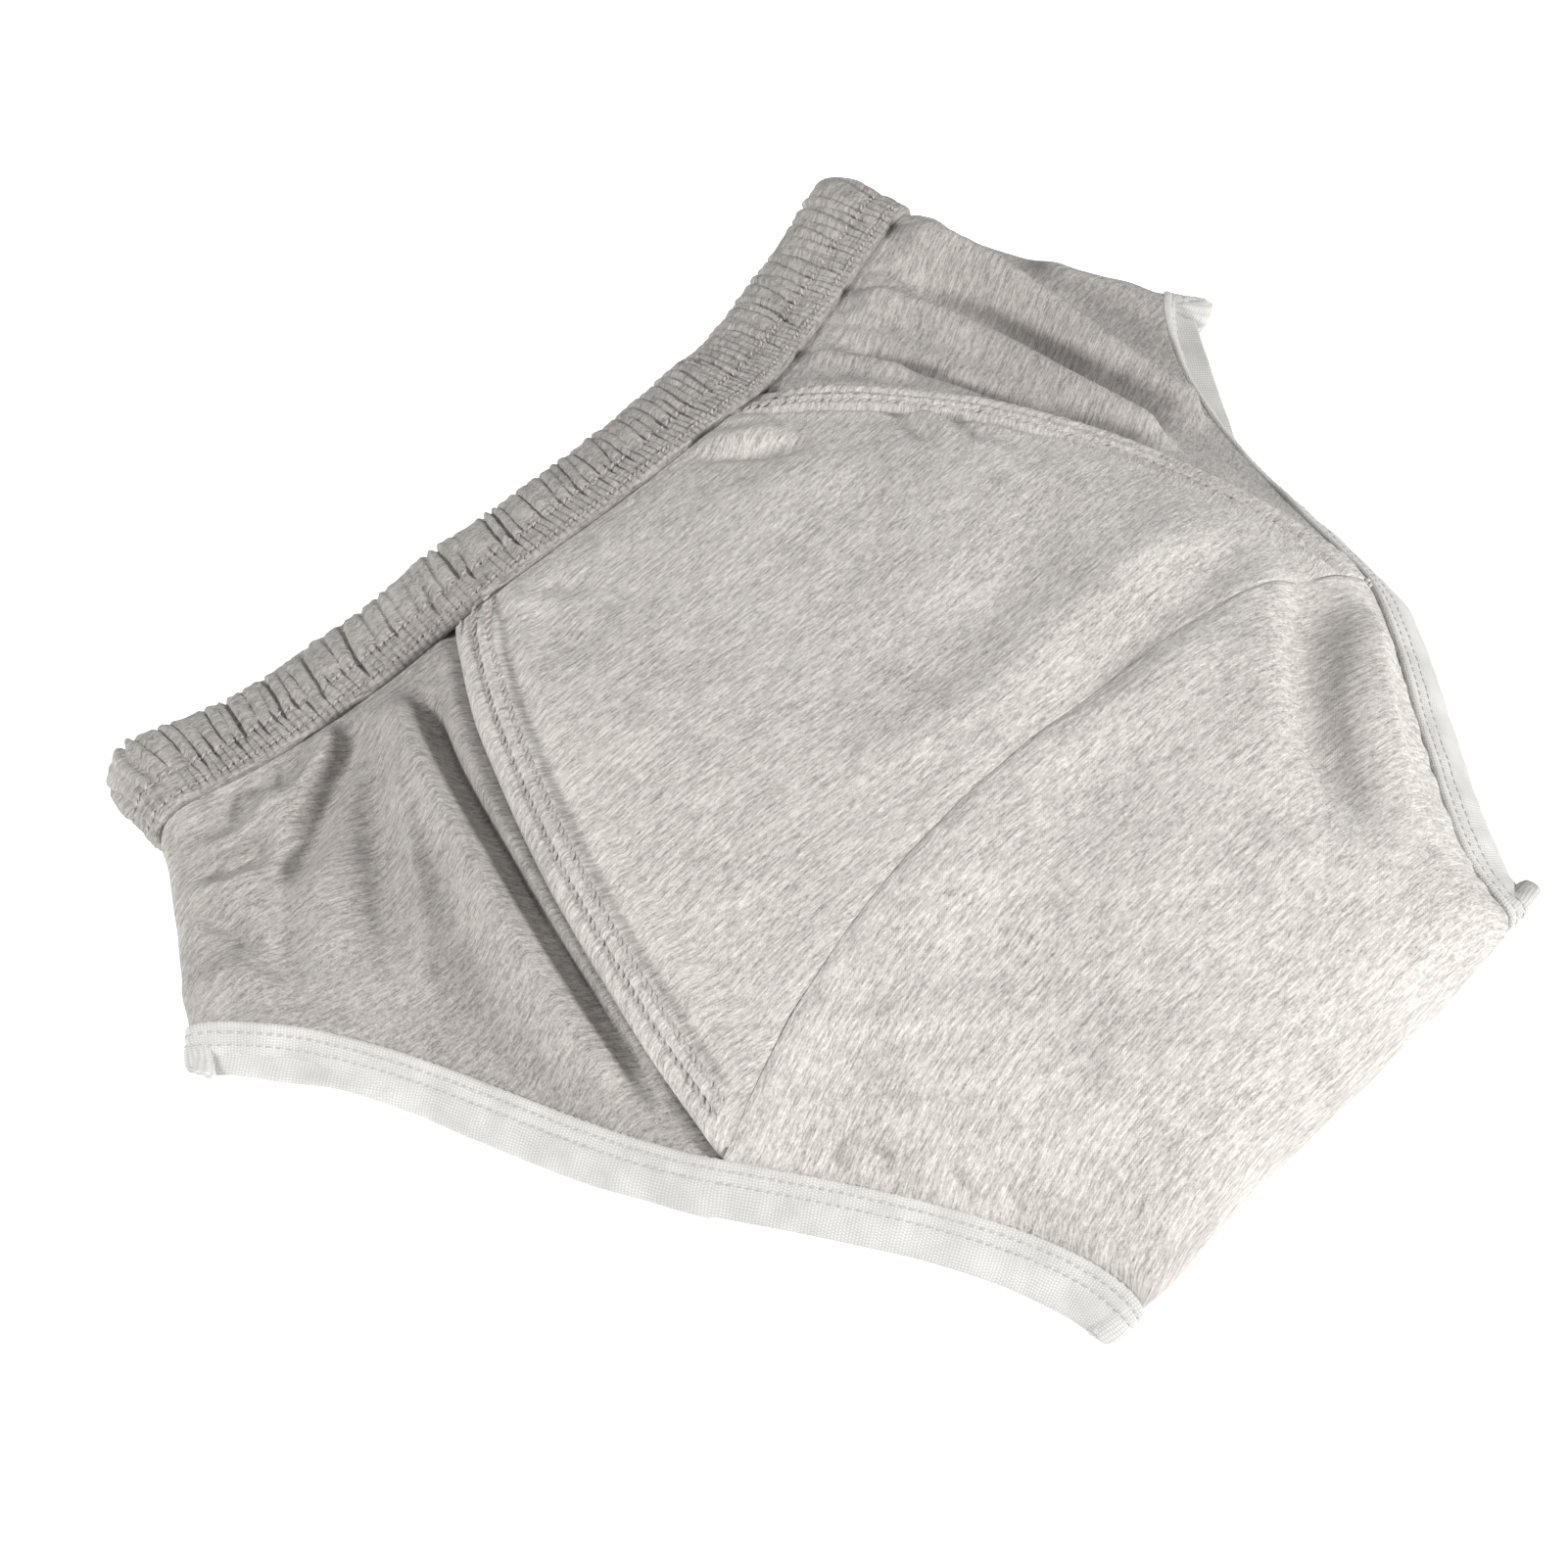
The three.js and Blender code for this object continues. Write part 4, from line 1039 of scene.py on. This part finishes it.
def makeSide(side):
    base, out = side["base"], side["baseOut"]
    along, fromBack = edgeDistances(base)
    down = arcLength(base, 0)
    toHem = down[-1:] - down
    w = np.broadcast_to(wrapSteps, down.shape)
    rise = foldsOver(base, out, side["folds"], lambda w, t: hipSurface(side, w, t))
    rise *= sideCloth["foldGain"]
    visible = smoothStep(0.75, 0.5, w)
    rise *= visible
    rise += restless(51 + side["sign"], along, down, 0.6) * mix(0.3, 1, visible)
    rise += gathers(61 + side["sign"], along, down, 0.85, 9) * mix(0.3, 1, visible)
    hem = puckersAlong(along[-1:], 71 + side["sign"], 8.0)
    rise += 0.3 * hem * np.exp(-toHem / 8) * smoothStep(0, 2.5, toHem) * mix(0.3, 1, visible)
    # The edges lie under the borders of the centre panels.
    for distance in (along, fromBack):
        rise *= smoothStep(-0.5, 3.2, distance)
        rise -= sideCloth["under"] * (1 - smoothStep(0.3, 3.6, distance))
    grid = base + out * rise[..., None]
    strips = []
    for edge, inward in ((0, 1), (-1, -2)):
        away = unit(grid[:, edge] - grid[:, inward])
        up = out[:, edge]
        strips.append([grid[:, edge] + away * a - up * b for a, b in ((1.2, 0.15), (2.6, 0.35))])
    columns = strips[0][::-1] + [grid[:, k] for k in range(grid.shape[1])] + strips[1]
    across = np.stack(columns, 1)
    rims = [widened(side["waist"], 2), widened(rimPart(side["rim"], np.arange(len(wrapSteps))), 2)]
    rims[0]["point"] = np.concatenate([across[0][:2], side["waist"]["point"], across[0][-2:]])
    rims[1]["point"] = np.concatenate([across[-1][:2], side["rim"]["point"][:len(wrapSteps)],
                                       across[-1][-2:]])
    # Near the seams the side panel stays below the centre panel.
    for rim, row in zip(rims, (0, -1)):
        distance = np.minimum(along[row], fromBack[row])
        keep = (1 - smoothStep(0.5, 6, distance))[:, None]
        rim["point"][2:-2] -= rim["normal"][2:-2] * sideCloth["underWaist"] * keep
        for k in (0, 1):
            rim["point"][k] = rim["point"][2] + (across[row][k] - across[row][2])
            rim["point"][-1 - k] = rim["point"][-3] + (across[row][-1 - k] - across[row][-3])
    met = meetRim(across, rims[0], 10)
    met = meetRim(met[::-1], rims[1], 10)[::-1]
    return grid, met


frontCloth, frontWhole = makeFront()
seatCloth, seatWhole = makeSeat()
print("front and seat panels shaped")
for garmentSide in bothSides:
    garmentSide["cloth"], garmentSide["whole"] = makeSide(garmentSide)
print("side panels shaped")

middle = frontWhole.shape[1] // 2
panelPieces = [
    clothPiece("front_panel_cloth", frontWhole, normalsOf(frontWhole), fine["jersey"],
               clothUv(frontWhole, middle), jersey),
    clothPiece("seat_panel_cloth", seatWhole, normalsOf(seatWhole), fine["jersey"],
               clothUv(seatWhole, middle), jersey),
]
for garmentSide in bothSides:
    whole = garmentSide["whole"]
    turned = garmentSide["sign"] < 0
    garmentSide["piece"] = clothPiece(
        garmentSide["word"] + "_side_cloth", whole, normalsOf(whole, garmentSide["sign"]),
        fine["jersey"], clothUv(whole, 2), sideJerseyPaintedShade, flip=turned)


# Jersey folded over elastic and gathered by it
waistband = {
    "columns": 1000, "jersey": 0.7,
    # the fold's section, as (out from the waist seam, height over the cloth)
    "outer": [(1.6, -0.75), (0.7, -0.7), (0.1, -0.2), (-0.05, 0.5), (0.15, 1.2), (0.6, 1.75), (1.2, 1.95),
              (1.8, 1.9), (2.3, 1.78), (2.8, 1.85), (3.4, 2.05), (4.2, 2.15), (5.2, 2.2), (6.2, 2.15),
              (7.0, 2.05), (7.6, 1.9), (8.1, 1.84), (8.6, 1.95), (9.3, 2.15), (10.3, 2.35), (11.6, 2.55),
              (13.0, 2.65), (14.4, 2.7), (15.8, 2.65), (17.2, 2.5), (18.6, 2.25), (19.8, 1.8), (20.8, 1.15),
              (21.5, 0.4)],
    "over": [(21.9, -0.4), (21.8, -1.3), (21.2, -2.1), (20.3, -2.7)],
    "inner": [(18.5, -3.0), (15, -3.1), (11, -3.1), (7, -3.05), (3.5, -3.0), (0.8, -2.95)],
    "cordPitch": 1.85, "cordHeight": 0.42,  # fine cords over the elastic's lower edge
    # grooves between the gathers: how far apart they come and how often, then depth and width
    "gaps": (2.2, 2.9, 3.6, 4.4, 5.6), "gapShares": (0.22, 0.3, 0.24, 0.15, 0.09),
    "deepShare": 0.3, "deep": {"depth": (1.1, 1.7), "width": (0.5, 0.8)},
    "shallow": {"depth": (0.4, 1.0), "width": (0.4, 0.6)},
    "rows": (2.3, 8.1),
}


def resample(rim, count):
    points = rim["point"]
    lengths = np.linalg.norm(np.roll(points, -1, 0) - points, axis=1)
    before = np.concatenate([[0], np.cumsum(lengths)])
    at = np.linspace(0, before[-1], count, endpoint=False)
    out = {"length": before[-1], "at": at}
    for key in ("point", "out", "normal"):
        values = np.concatenate([rim[key], rim[key][:1]])
        out[key] = np.stack([np.interp(at, before, values[:, k]) for k in range(3)], -1)
    out["out"], out["normal"] = unit(out["out"]), unit(out["normal"])
    out["point"] = softened(out["point"], 2)
    tangent = unit(np.roll(out["point"], -1, 0) - np.roll(out["point"], 1, 0))
    out["tangent"] = tangent
    out["handed"] = 1 if np.mean(np.sum(np.cross(out["out"], tangent) * out["normal"], -1)) > 0 else -1
    return out


def wrapDistance(at, place, length):  # along a closed loop, the short way round
    return (at - place + length / 2) % length - length / 2


def foldedStrip(name, rim, out, height, thickness, material):
    grid = (rim["point"][None] + rim["out"][None] * out[..., None]
            + rim["normal"][None] * height[..., None])
    normals = normalsOf(grid, rim["handed"], wrapped=True)
    down = arcLength(grid, 0)
    along = np.broadcast_to(rim["at"], down.shape)
    uv = np.stack([along, down], -1) * mm
    piece = clothPiece(name, grid, normals, thickness, uv, material, wrapped=True,
                       flip=rim["handed"] < 0)
    return grid, normals, piece


def cordWaves(rim, pitch):
    count = round(rim["length"] / pitch)
    swing = noiseLine(81, rim["at"], 6) * 0.35
    phase = 2 * math.pi * (rim["at"] / rim["length"] * count) + swing * 2.2
    return np.cos(phase)


def makeWaistband():
    g = waistband
    rim = resample(waist, g["columns"])
    section = np.array(g["outer"] + g["over"] + g["inner"])
    out = np.repeat(section[:, :1], g["columns"], 1)
    height = np.repeat(section[:, 1:], g["columns"], 1)
    outerRows = len(g["outer"]) + len(g["over"])
    onOuter = np.zeros(len(section))
    onOuter[:outerRows] = 1
    onOuter[outerRows:] = 0.35
    place = section[:, :1]
    # Fine cords over the elastic's lower edge and the turned-up hem
    cords = cordWaves(rim, g["cordPitch"])
    low = smoothStep(0.0, 1.5, place) * smoothStep(13, 8, place)
    relief = g["cordHeight"] * cords * low
    # Slanted grooves between plump gathers above
    draws = np.random.default_rng(7)
    starts = [0.0]
    while starts[-1] < rim["length"] - 3:
        gap = draws.choice(g["gaps"], p=g["gapShares"])
        starts.append(starts[-1] + gap + draws.uniform(-0.3, 0.3))
    slants = 0.34 * noiseLine(87, np.array(starts), 26)
    for start, slant in zip(starts, slants):
        slant += draws.uniform(-0.07, 0.07)
        groove = g["deep"] if draws.uniform() < g["deepShare"] else g["shallow"]
        depth = draws.uniform(*groove["depth"])
        width = draws.uniform(*groove["width"])
        first = draws.uniform(3.5, 8.5)
        last = 40.0 if draws.uniform() < 0.75 else draws.uniform(13, 19)
        bend = draws.uniform(-0.012, 0.012)
        middle = start + slant * (place - 10) + bend * (place - 10) ** 2
        away = wrapDistance(rim["at"][None], middle, rim["length"])
        span = smoothStep(first - 2, first + 3, place) * smoothStep(last + 2, last - 2, place)
        relief = relief - depth * span * np.exp(-(away / width) ** 2)
        relief = relief + 0.3 * depth * span * np.exp(-((np.abs(away) - 1.3) / 0.8) ** 2)
    relief += 0.28 * noiseSheet(83, rim["at"][None], place * 0.5, 3.1) * smoothStep(7, 12, place)
    relief += 0.12 * noiseSheet(84, rim["at"][None], place * 0.8, 1.3) * smoothStep(6, 11, place)
    plump = 0.5 * noiseSheet(85, rim["at"][None], place * 0.3, 13) * smoothStep(4, 12, place)
    relief = np.clip(relief + plump, -1.7, 1.2) * onOuter[:, None]
    # On the rounded top the relief scallops the edge.
    turning = smoothStep(17.5, 21.5, place) * onOuter[:, None]
    height = height + relief * (1 - 0.7 * turning)
    out = out + relief * 0.75 * turning
    out = out + 0.35 * noiseLine(86, rim["at"], 9)[None] * smoothStep(14, 22, place)
    # The lowest edge is a beaded line.
    bead = np.exp(-(place / 1.4) ** 2) * onOuter[:, None]
    height = height + 0.2 * cords * bead
    out = out - 0.22 * (cords * 0.5 + 0.5) * bead
    return rim, section, foldedStrip("waistband_cloth", rim, out, height, g["jersey"], bandJerseyPaintedShade)


bandRim, bandSection, (bandGrid, bandNormals, bandPiece) = makeWaistband()
print("waistband shaped")


elastic = {"from": 3.8, "to": 20.0, "thickness": 1.2, "ribs": 120, "ribHeight": 0.08, "lift": 0.1}


def makeElastic():
    rows = np.linspace(elastic["from"], elastic["to"], 12)
    out = np.repeat(rows[:, None], waistband["columns"] // 2, 1)
    half = {key: bandRim[key][::2] if key in ("point", "out", "normal", "at") else bandRim[key]
            for key in bandRim}
    turn = 2 * math.pi * half["at"] / half["length"]
    height = elastic["ribHeight"] * np.cos(turn * elastic["ribs"])[None] + elastic["lift"]
    height = np.broadcast_to(height, out.shape)
    return foldedStrip("waist_elastic_tape", half, out, height, elastic["thickness"], elasticTape)[2]


elasticPiece = makeElastic()

# White rib knit folded over the raw edge of a leg
binding = {
    "columns": 440, "knit": 0.75,
    "outer": [(1.4, -0.55), (0.5, -0.5), (0.0, -0.1), (-0.05, 0.5), (0.2, 1.0), (0.7, 1.25), (1.3, 1.25),
              (1.8, 1.1), (2.2, 1.0), (2.7, 1.08), (3.3, 1.2), (4.0, 1.2), (4.5, 1.08), (4.9, 0.98),
              (5.3, 1.05), (5.9, 1.15), (6.9, 1.12), (8.0, 1.02), (9.2, 0.88), (10.3, 0.7), (11.2, 0.45),
              (11.7, 0.15)],
    "over": [(11.95, -0.2), (11.9, -0.6), (11.6, -0.9), (11.0, -1.1)],
    "inner": [(8.8, -1.35), (6.4, -1.6), (4.0, -1.85), (1.6, -2.0), (0.5, -2.0)],
    "rows": (2.2, 4.9),
    "wavePitch": 8.2, "waveHeight": 0.1, "puckerPitch": 2.1, "puckerHeight": 0.06,
    "drawnIn": {"left": 0.3, "right": 0.4},  # narrower where it lies underneath
}


def makeBinding(side):
    g = binding
    rim = resample(side["rim"], g["columns"])
    section = np.array(g["outer"] + g["over"] + g["inner"])
    place = section[:, :1]
    onOuter = np.ones((len(section), 1))
    onOuter[len(g["outer"]) + len(g["over"]):] = 0.3
    seed = 90 + side["sign"]

    def wavesOf(seed, pitch):  # a whole number of them round the leg
        return puckersAlong(rim["at"], seed, rim["length"] / round(rim["length"] / pitch))[None]

    fineWaves = wavesOf(seed + 5, g["puckerPitch"])
    relief = g["waveHeight"] * wavesOf(seed, g["wavePitch"]) * smoothStep(0, 5, place)
    relief = relief + 0.3 * noiseSheet(seed + 9, rim["at"][None], place, 12)
    nearRows = sum(np.exp(-(place - row) ** 2) for row in g["rows"])
    relief = relief + g["puckerHeight"] * fineWaves * nearRows
    out = place + 0.3 * noiseLine(seed + 13, rim["at"], 14)[None] * smoothStep(6, 12, place)
    out = out + 0.14 * fineWaves * np.exp(-(place / 0.9) ** 2)
    height = section[:, 1:] + relief * onOuter
    under = smoothStep(0.3, -0.5, rim["normal"][:, 2])
    out = out * (1 - g["drawnIn"][side["word"]] * under)
    made = foldedStrip(side["word"] + "_binding_cloth", rim, out, height, g["knit"], ribKnit)
    side["bindingRim"] = rim
    side["bindingGrid"], side["bindingNormals"], side["binding"] = made
    side["bindingSection"] = section


for garmentSide in bothSides:
    makeBinding(garmentSide)
print("leg bindings shaped")

# Pads and linings lie under the centre panels; depths below the outer face, in mm.
padding = {"top": 1.5, "thick": 2.6, "lining": 4.7, "liningThick": 0.8}


def thinned(first, last, step=2):
    picks = np.arange(first, last + 1, step)
    return picks if picks[-1] == last else np.append(picks, last)


padColumns = np.flatnonzero(np.abs(acrossSteps) <= 0.87)
padColumns = padColumns[thinned(0, len(padColumns) - 1)]


def inset(cloth, out, rows):
    smooth = softened(softened(cloth, 1.2, wrapped=False).transpose(1, 0, 2), 1.2, wrapped=False)
    smooth = smooth.transpose(1, 0, 2)
    return smooth[np.ix_(rows, padColumns)], unit(out[np.ix_(rows, padColumns)])


def edgeTaper(grid, reach):
    left, right = edgeDistances(grid)
    down = arcLength(grid, 0)
    nearest = np.minimum(np.minimum(left, right), np.minimum(down, down[-1:] - down))
    share = np.clip(nearest / reach, 0, 1)
    return np.sqrt(1 - (1 - share) ** 2)


def makePad(name, cloth, out, rows):
    grid, normals = inset(cloth, out, rows)
    fullness = mix(0.25, 1, edgeTaper(grid, 3.0))
    middleDepth = padding["top"] + padding["thick"] / 2
    u, s = arcLength(grid, 1), arcLength(grid, 0)
    tufts = 0.16 * np.cos(u * 2 * math.pi / 11) * np.cos(s * 2 * math.pi / 11)
    half = (padding["thick"] / 2 + tufts) * fullness
    top = grid - normals * (middleDepth - half)[..., None]
    return clothPiece(name, top, normals, 2 * half[..., None], clothUv(top, top.shape[1] // 2), wadding)


def makeLining(name, cloth, out, rows):
    grid, normals = inset(cloth, out, rows)
    top = grid - normals * padding["lining"]
    return clothPiece(name, top, normals, padding["liningThick"], clothUv(top, top.shape[1] // 2),
                      liningCloth)


frontPicks = thinned(2, len(frontSteps) - 3)
seatPicks = thinned(3, len(seatSteps) - 4)
frontPad = makePad("front_pad_wadding", frontCloth, frontOut, frontPicks)
seatPad = makePad("seat_pad_wadding", seatCloth, seatOut, seatPicks)
frontLining = makeLining("front_lining_cloth", frontCloth, frontOut, frontPicks)
seatLining = makeLining("seat_lining_cloth", seatCloth, seatOut, seatPicks)
print("pads and linings shaped")


# One stitch is modelled, and its copies follow the seams.
def oneStitch():  # lies along X, a unit long and a unit thick, plump in the middle
    bpy.ops.object.select_all(action="DESELECT")
    bpy.ops.mesh.primitive_cylinder_add(vertices=6, radius=0.5, depth=0.5, location=(0, 0, 0))
    stitch = bpy.context.object
    bpy.ops.object.mode_set(mode="EDIT")
    bpy.ops.mesh.select_all(action="SELECT")
    bpy.ops.transform.rotate(value=math.pi / 2, orient_axis="Y", center_override=(0, 0, 0))
    bpy.ops.mesh.select_all(action="DESELECT")
    bpy.ops.object.mode_set(mode="OBJECT")
    for face in stitch.data.polygons:
        face.select = abs(face.normal.x) > 0.9
    bpy.ops.object.mode_set(mode="EDIT")
    bpy.ops.mesh.select_mode(type="FACE")
    bpy.ops.mesh.inset(thickness=0.22, depth=0.25, use_individual=True)
    bpy.ops.object.mode_set(mode="OBJECT")
    points = np.array([v.co for v in stitch.data.vertices])
    faces = [tuple(f.vertices) for f in stitch.data.polygons]
    bpy.data.objects.remove(stitch)
    return points, faces


stitchPoints, stitchFaces = oneStitch()


# A row of stitches: each is turned a little across the row, and dips in at both ends.
def stitchRow(places, ways, ups, pitch, length, thickness, turn, sink, seed):
    draws = np.random.default_rng(seed)
    distance = np.concatenate([[0], np.cumsum(np.linalg.norm(np.diff(places, axis=0), axis=1))])
    count = int(distance[-1] // pitch)
    at = (np.arange(count) + 0.5) * distance[-1] / count

    def read(values):
        return np.stack([np.interp(at, distance, values[:, k]) for k in range(3)], -1)

    place, way, up = read(places), unit(read(ways)), unit(read(ups))
    up = unit(up - way * np.sum(up * way, -1, keepdims=True))
    side = np.cross(up, way)
    copies = []
    for k in range(count):
        angle = math.radians(turn + draws.uniform(-6, 6))
        forward = way[k] * math.cos(angle) + side[k] * math.sin(angle)
        across = np.cross(up[k], forward)
        x, y, z = stitchPoints.T
        long = length * draws.uniform(0.93, 1.07)
        droop = -sink * (2 * x) ** 2
        copies.append(place[k] + np.outer(x * long, forward) + np.outer(y * thickness, across)
                      + np.outer(z * thickness * 0.85 + droop, up[k]))
    return np.concatenate(copies)


def stitchPiece(name, rows, material):
    points = np.concatenate(rows) * mm + shift
    points[:, 2] = np.maximum(points[:, 2], lowest)
    each = len(stitchPoints)
    faces = [tuple(i + k * each for i in face)
             for k in range(len(points) // each) for face in stitchFaces]
    mesh = bpy.data.meshes.new(name)
    mesh.from_pydata(points.tolist(), [], faces)
    mesh.polygons.foreach_set("use_smooth", np.ones(len(mesh.polygons), bool))
    mesh.materials.append(material)
    mesh.update()
    piece = bpy.data.objects.new(name, mesh)
    bpy.context.scene.collection.objects.link(piece)
    return piece


def columnAt(grid, normals, distances, target):  # the line at a set distance in from a grid's edge
    places, ups = [], []
    for row in range(grid.shape[0]):
        here = distances[row]
        order = np.argsort(here)
        places.append([np.interp(target, here[order], grid[row][order, k]) for k in range(3)])
        ups.append([np.interp(target, here[order], normals[row][order, k]) for k in range(3)])
    return np.array(places), unit(np.array(ups))


seamThread = {"pitch": 2.15, "length": 2.4, "thickness": 0.6, "turn": 36, "sink": 0.16, "raise": 0.22}


def seamRows(cloth, base, normals, picks, side, seed):
    left, right = edgeDistances(base)
    distances = left if side["sign"] < 0 else right
    g = seamThread
    rows = []
    for k, target in enumerate(border["rows"]):
        places, ups = columnAt(cloth[picks], normals[picks], distances[picks], target)
        places = places + ups * g["raise"]
        ways = np.gradient(places, axis=0)
        rows.append(stitchRow(places, unit(ways), ups, g["pitch"], g["length"], g["thickness"],
                              g["turn"] * side["sign"], g["sink"], seed + k))
    return rows


seatSeamRows = np.flatnonzero(seatSteps >= 3.02)
frontSeamRows = np.arange(1, len(frontSteps) - 3)
for garmentSide in bothSides:
    word = garmentSide["word"]
    garmentSide["frontThread"] = stitchPiece(
        word + "_front_seam_stitches",
        seamRows(frontCloth, frontBase, normalsOf(frontCloth), frontSeamRows, garmentSide, 201),
        greyThread)
    garmentSide["backThread"] = stitchPiece(
        word + "_back_seam_stitches",
        seamRows(seatCloth, seatBase, normalsOf(seatCloth), seatSeamRows, garmentSide, 211),
        greyThread)


def ringRow(grid, normals, section, rowAt, thread, seed):
    k = int(np.argmin(np.abs(section[:, 0] - rowAt) + (section[:, 1] < 0) * 99))
    places = np.concatenate([grid[k], grid[k][:1]])
    ups = np.concatenate([normals[k], normals[k][:1]])
    ways = unit(np.roll(grid[k], -1, 0) - np.roll(grid[k], 1, 0))
    ways = np.concatenate([ways, ways[:1]])
    return stitchRow(places + ups * thread["raise"], ways, ups, thread["pitch"], thread["length"],
                     thread["thickness"], thread["turn"], thread["sink"], seed)


bandThread = {"pitch": 1.85, "length": 1.75, "thickness": 0.5, "turn": 28, "sink": 0.2, "raise": 0.1}
legThread = {"pitch": 2.1, "length": 1.7, "thickness": 0.42, "turn": 10, "sink": 0.16, "raise": 0.1}
bandThreads = [
    stitchPiece("waist_stitches_" + word,
                [ringRow(bandGrid, bandNormals, bandSection, rowAt, bandThread, 221 + k)],
                greyThread)
    for k, (word, rowAt) in enumerate(zip(("low", "high"), waistband["rows"]))]
for garmentSide in bothSides:
    garmentSide["legThreads"] = [
        stitchPiece(garmentSide["word"] + "_leg_stitches_" + word,
                    [ringRow(garmentSide["bindingGrid"], garmentSide["bindingNormals"],
                             garmentSide["bindingSection"], rowAt, legThread, 231 + k)], whiteThreadPaintedShade)
        for k, (word, rowAt) in enumerate(zip(("high", "low"), binding["rows"]))]

crotchThread = {"pitch": 2.6, "length": 1.4, "thickness": 0.2, "turn": 0, "sink": 0.2}
seamLine = (frontCloth[-1] + seatCloth[0]) / 2
seamUp = unit(frontOut[-1] + seatOut[0])
crotchPiece = stitchPiece(
    "crotch_seam_stitches",
    [stitchRow(seamLine - seamUp * 0.2, unit(np.gradient(seamLine, axis=0)), seamUp,
               crotchThread["pitch"], crotchThread["length"], crotchThread["thickness"],
               crotchThread["turn"], crotchThread["sink"], 241)], greyThread)
print("stitching done")


# Which piece stands for which part, and what each is made of
frontPiece, seatPiece = panelPieces
standsFor = [
    (frontPiece, "front_outer_panel", "jersey"),
    (seatPiece, "seat_outer_panel", "jersey"),
    (frontPad, "front_pad_core", "pad"),
    (seatPad, "seat_pad_core", "pad"),
    (frontLining, "front_lining", "lining"),
    (seatLining, "seat_lining", "lining"),
    (crotchPiece, "crotch_seam_thread", "grey_thread"),
    (bandPiece, "waistband_casing", "waistband"),
    (elasticPiece, "waistband_elastic", "elastic"),
    (bandThreads[0], "waistband_stitch_lower", "grey_thread"),
    (bandThreads[1], "waistband_stitch_upper", "grey_thread"),
]
for garmentSide in bothSides:
    word = garmentSide["word"]
    standsFor += [
        (garmentSide["piece"], word + "_side_panel", "jersey"),
        (garmentSide["binding"], word + "_leg_binding", "binding"),
        (garmentSide["frontThread"], word + "_front_seam_stitching", "grey_thread"),
        (garmentSide["backThread"], word + "_back_seam_stitching", "grey_thread"),
        (garmentSide["legThreads"][0], word + "_leg_stitch_upper", "white_thread"),
        (garmentSide["legThreads"][1], word + "_leg_stitch_lower", "white_thread"),
    ]
for piece, node, slotName in standsFor:
    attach(piece, "root")
    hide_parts(node)


studio = {"floorSize": 6, "paper": 0.9, "glow": 0.64, "surround": 0.14}
bpy.ops.object.select_all(action="DESELECT")
bpy.ops.mesh.primitive_plane_add(size=studio["floorSize"], location=(0, 0, -0.0004))
floor = bpy.context.object
floor.name = "studio_floor"
floorMaterial = bpy.data.materials.new("paper")
floorMaterial.use_nodes = True
paper = floorMaterial.node_tree.nodes["Principled BSDF"]
paper.inputs["Base Color"].default_value = (studio["paper"], studio["paper"], studio["paper"], 1)
paper.inputs["Roughness"].default_value = 0.9
paper.inputs["Specular IOR Level"].default_value = 0.1
paper.inputs["Emission Color"].default_value = (1, 1, 1, 1)
paper.inputs["Emission Strength"].default_value = studio["glow"]
floor.data.materials.append(floorMaterial)


def softLight(name, place, size, power, target=(0, 0, 0.02)):  # metres and watts
    lamp = bpy.data.lights.new(name, "AREA")
    lamp.shape = "DISK"
    lamp.size = size
    lamp.energy = power
    holder = bpy.data.objects.new(name, lamp)
    holder.location = place
    holder.rotation_euler = (Vector(target) - Vector(place)).to_track_quat("-Z", "Y").to_euler()
    bpy.context.scene.collection.objects.link(holder)
    return holder


softLight("key", (0.6, -1.45, 0.85), 0.35, 33)
softLight("left", (-1.4, 0.55, 1.0), 0.35, 26)
softLight("top", (0.1, 0.2, 1.8), 0.6, 6)
world = bpy.data.worlds.new("studio")
world.use_nodes = True
world.node_tree.nodes["Background"].inputs["Color"].default_value = (1, 1, 1, 1)
world.node_tree.nodes["Background"].inputs["Strength"].default_value = studio["surround"]
bpy.context.scene.world = world
bpy.context.scene.view_settings.view_transform = "Standard"

viewpoint = {"target": (-0.0243, 0.0088, 0.02), "distance": 1.2, "azimuth": -46, "elevation": 51.2,
             "lens": 128.73}
azimuth = math.radians(viewpoint["azimuth"])
elevation = math.radians(viewpoint["elevation"])
back = Vector((math.sin(azimuth) * math.cos(elevation), -math.cos(azimuth) * math.cos(elevation),
               math.sin(elevation)))
lens = bpy.data.cameras.new("camera")
lens.lens = viewpoint["lens"]
lens.sensor_width = 36
lens.clip_start = 0.05
camera = bpy.data.objects.new("camera", lens)
camera.location = Vector(viewpoint["target"]) + back * viewpoint["distance"]
camera.rotation_euler = back.to_track_quat("Z", "Y").to_euler()
bpy.context.scene.collection.objects.link(camera)
bpy.context.scene.camera = camera

print("CAD box", [list(np.round(corner, 4)) for corner in cadBox])
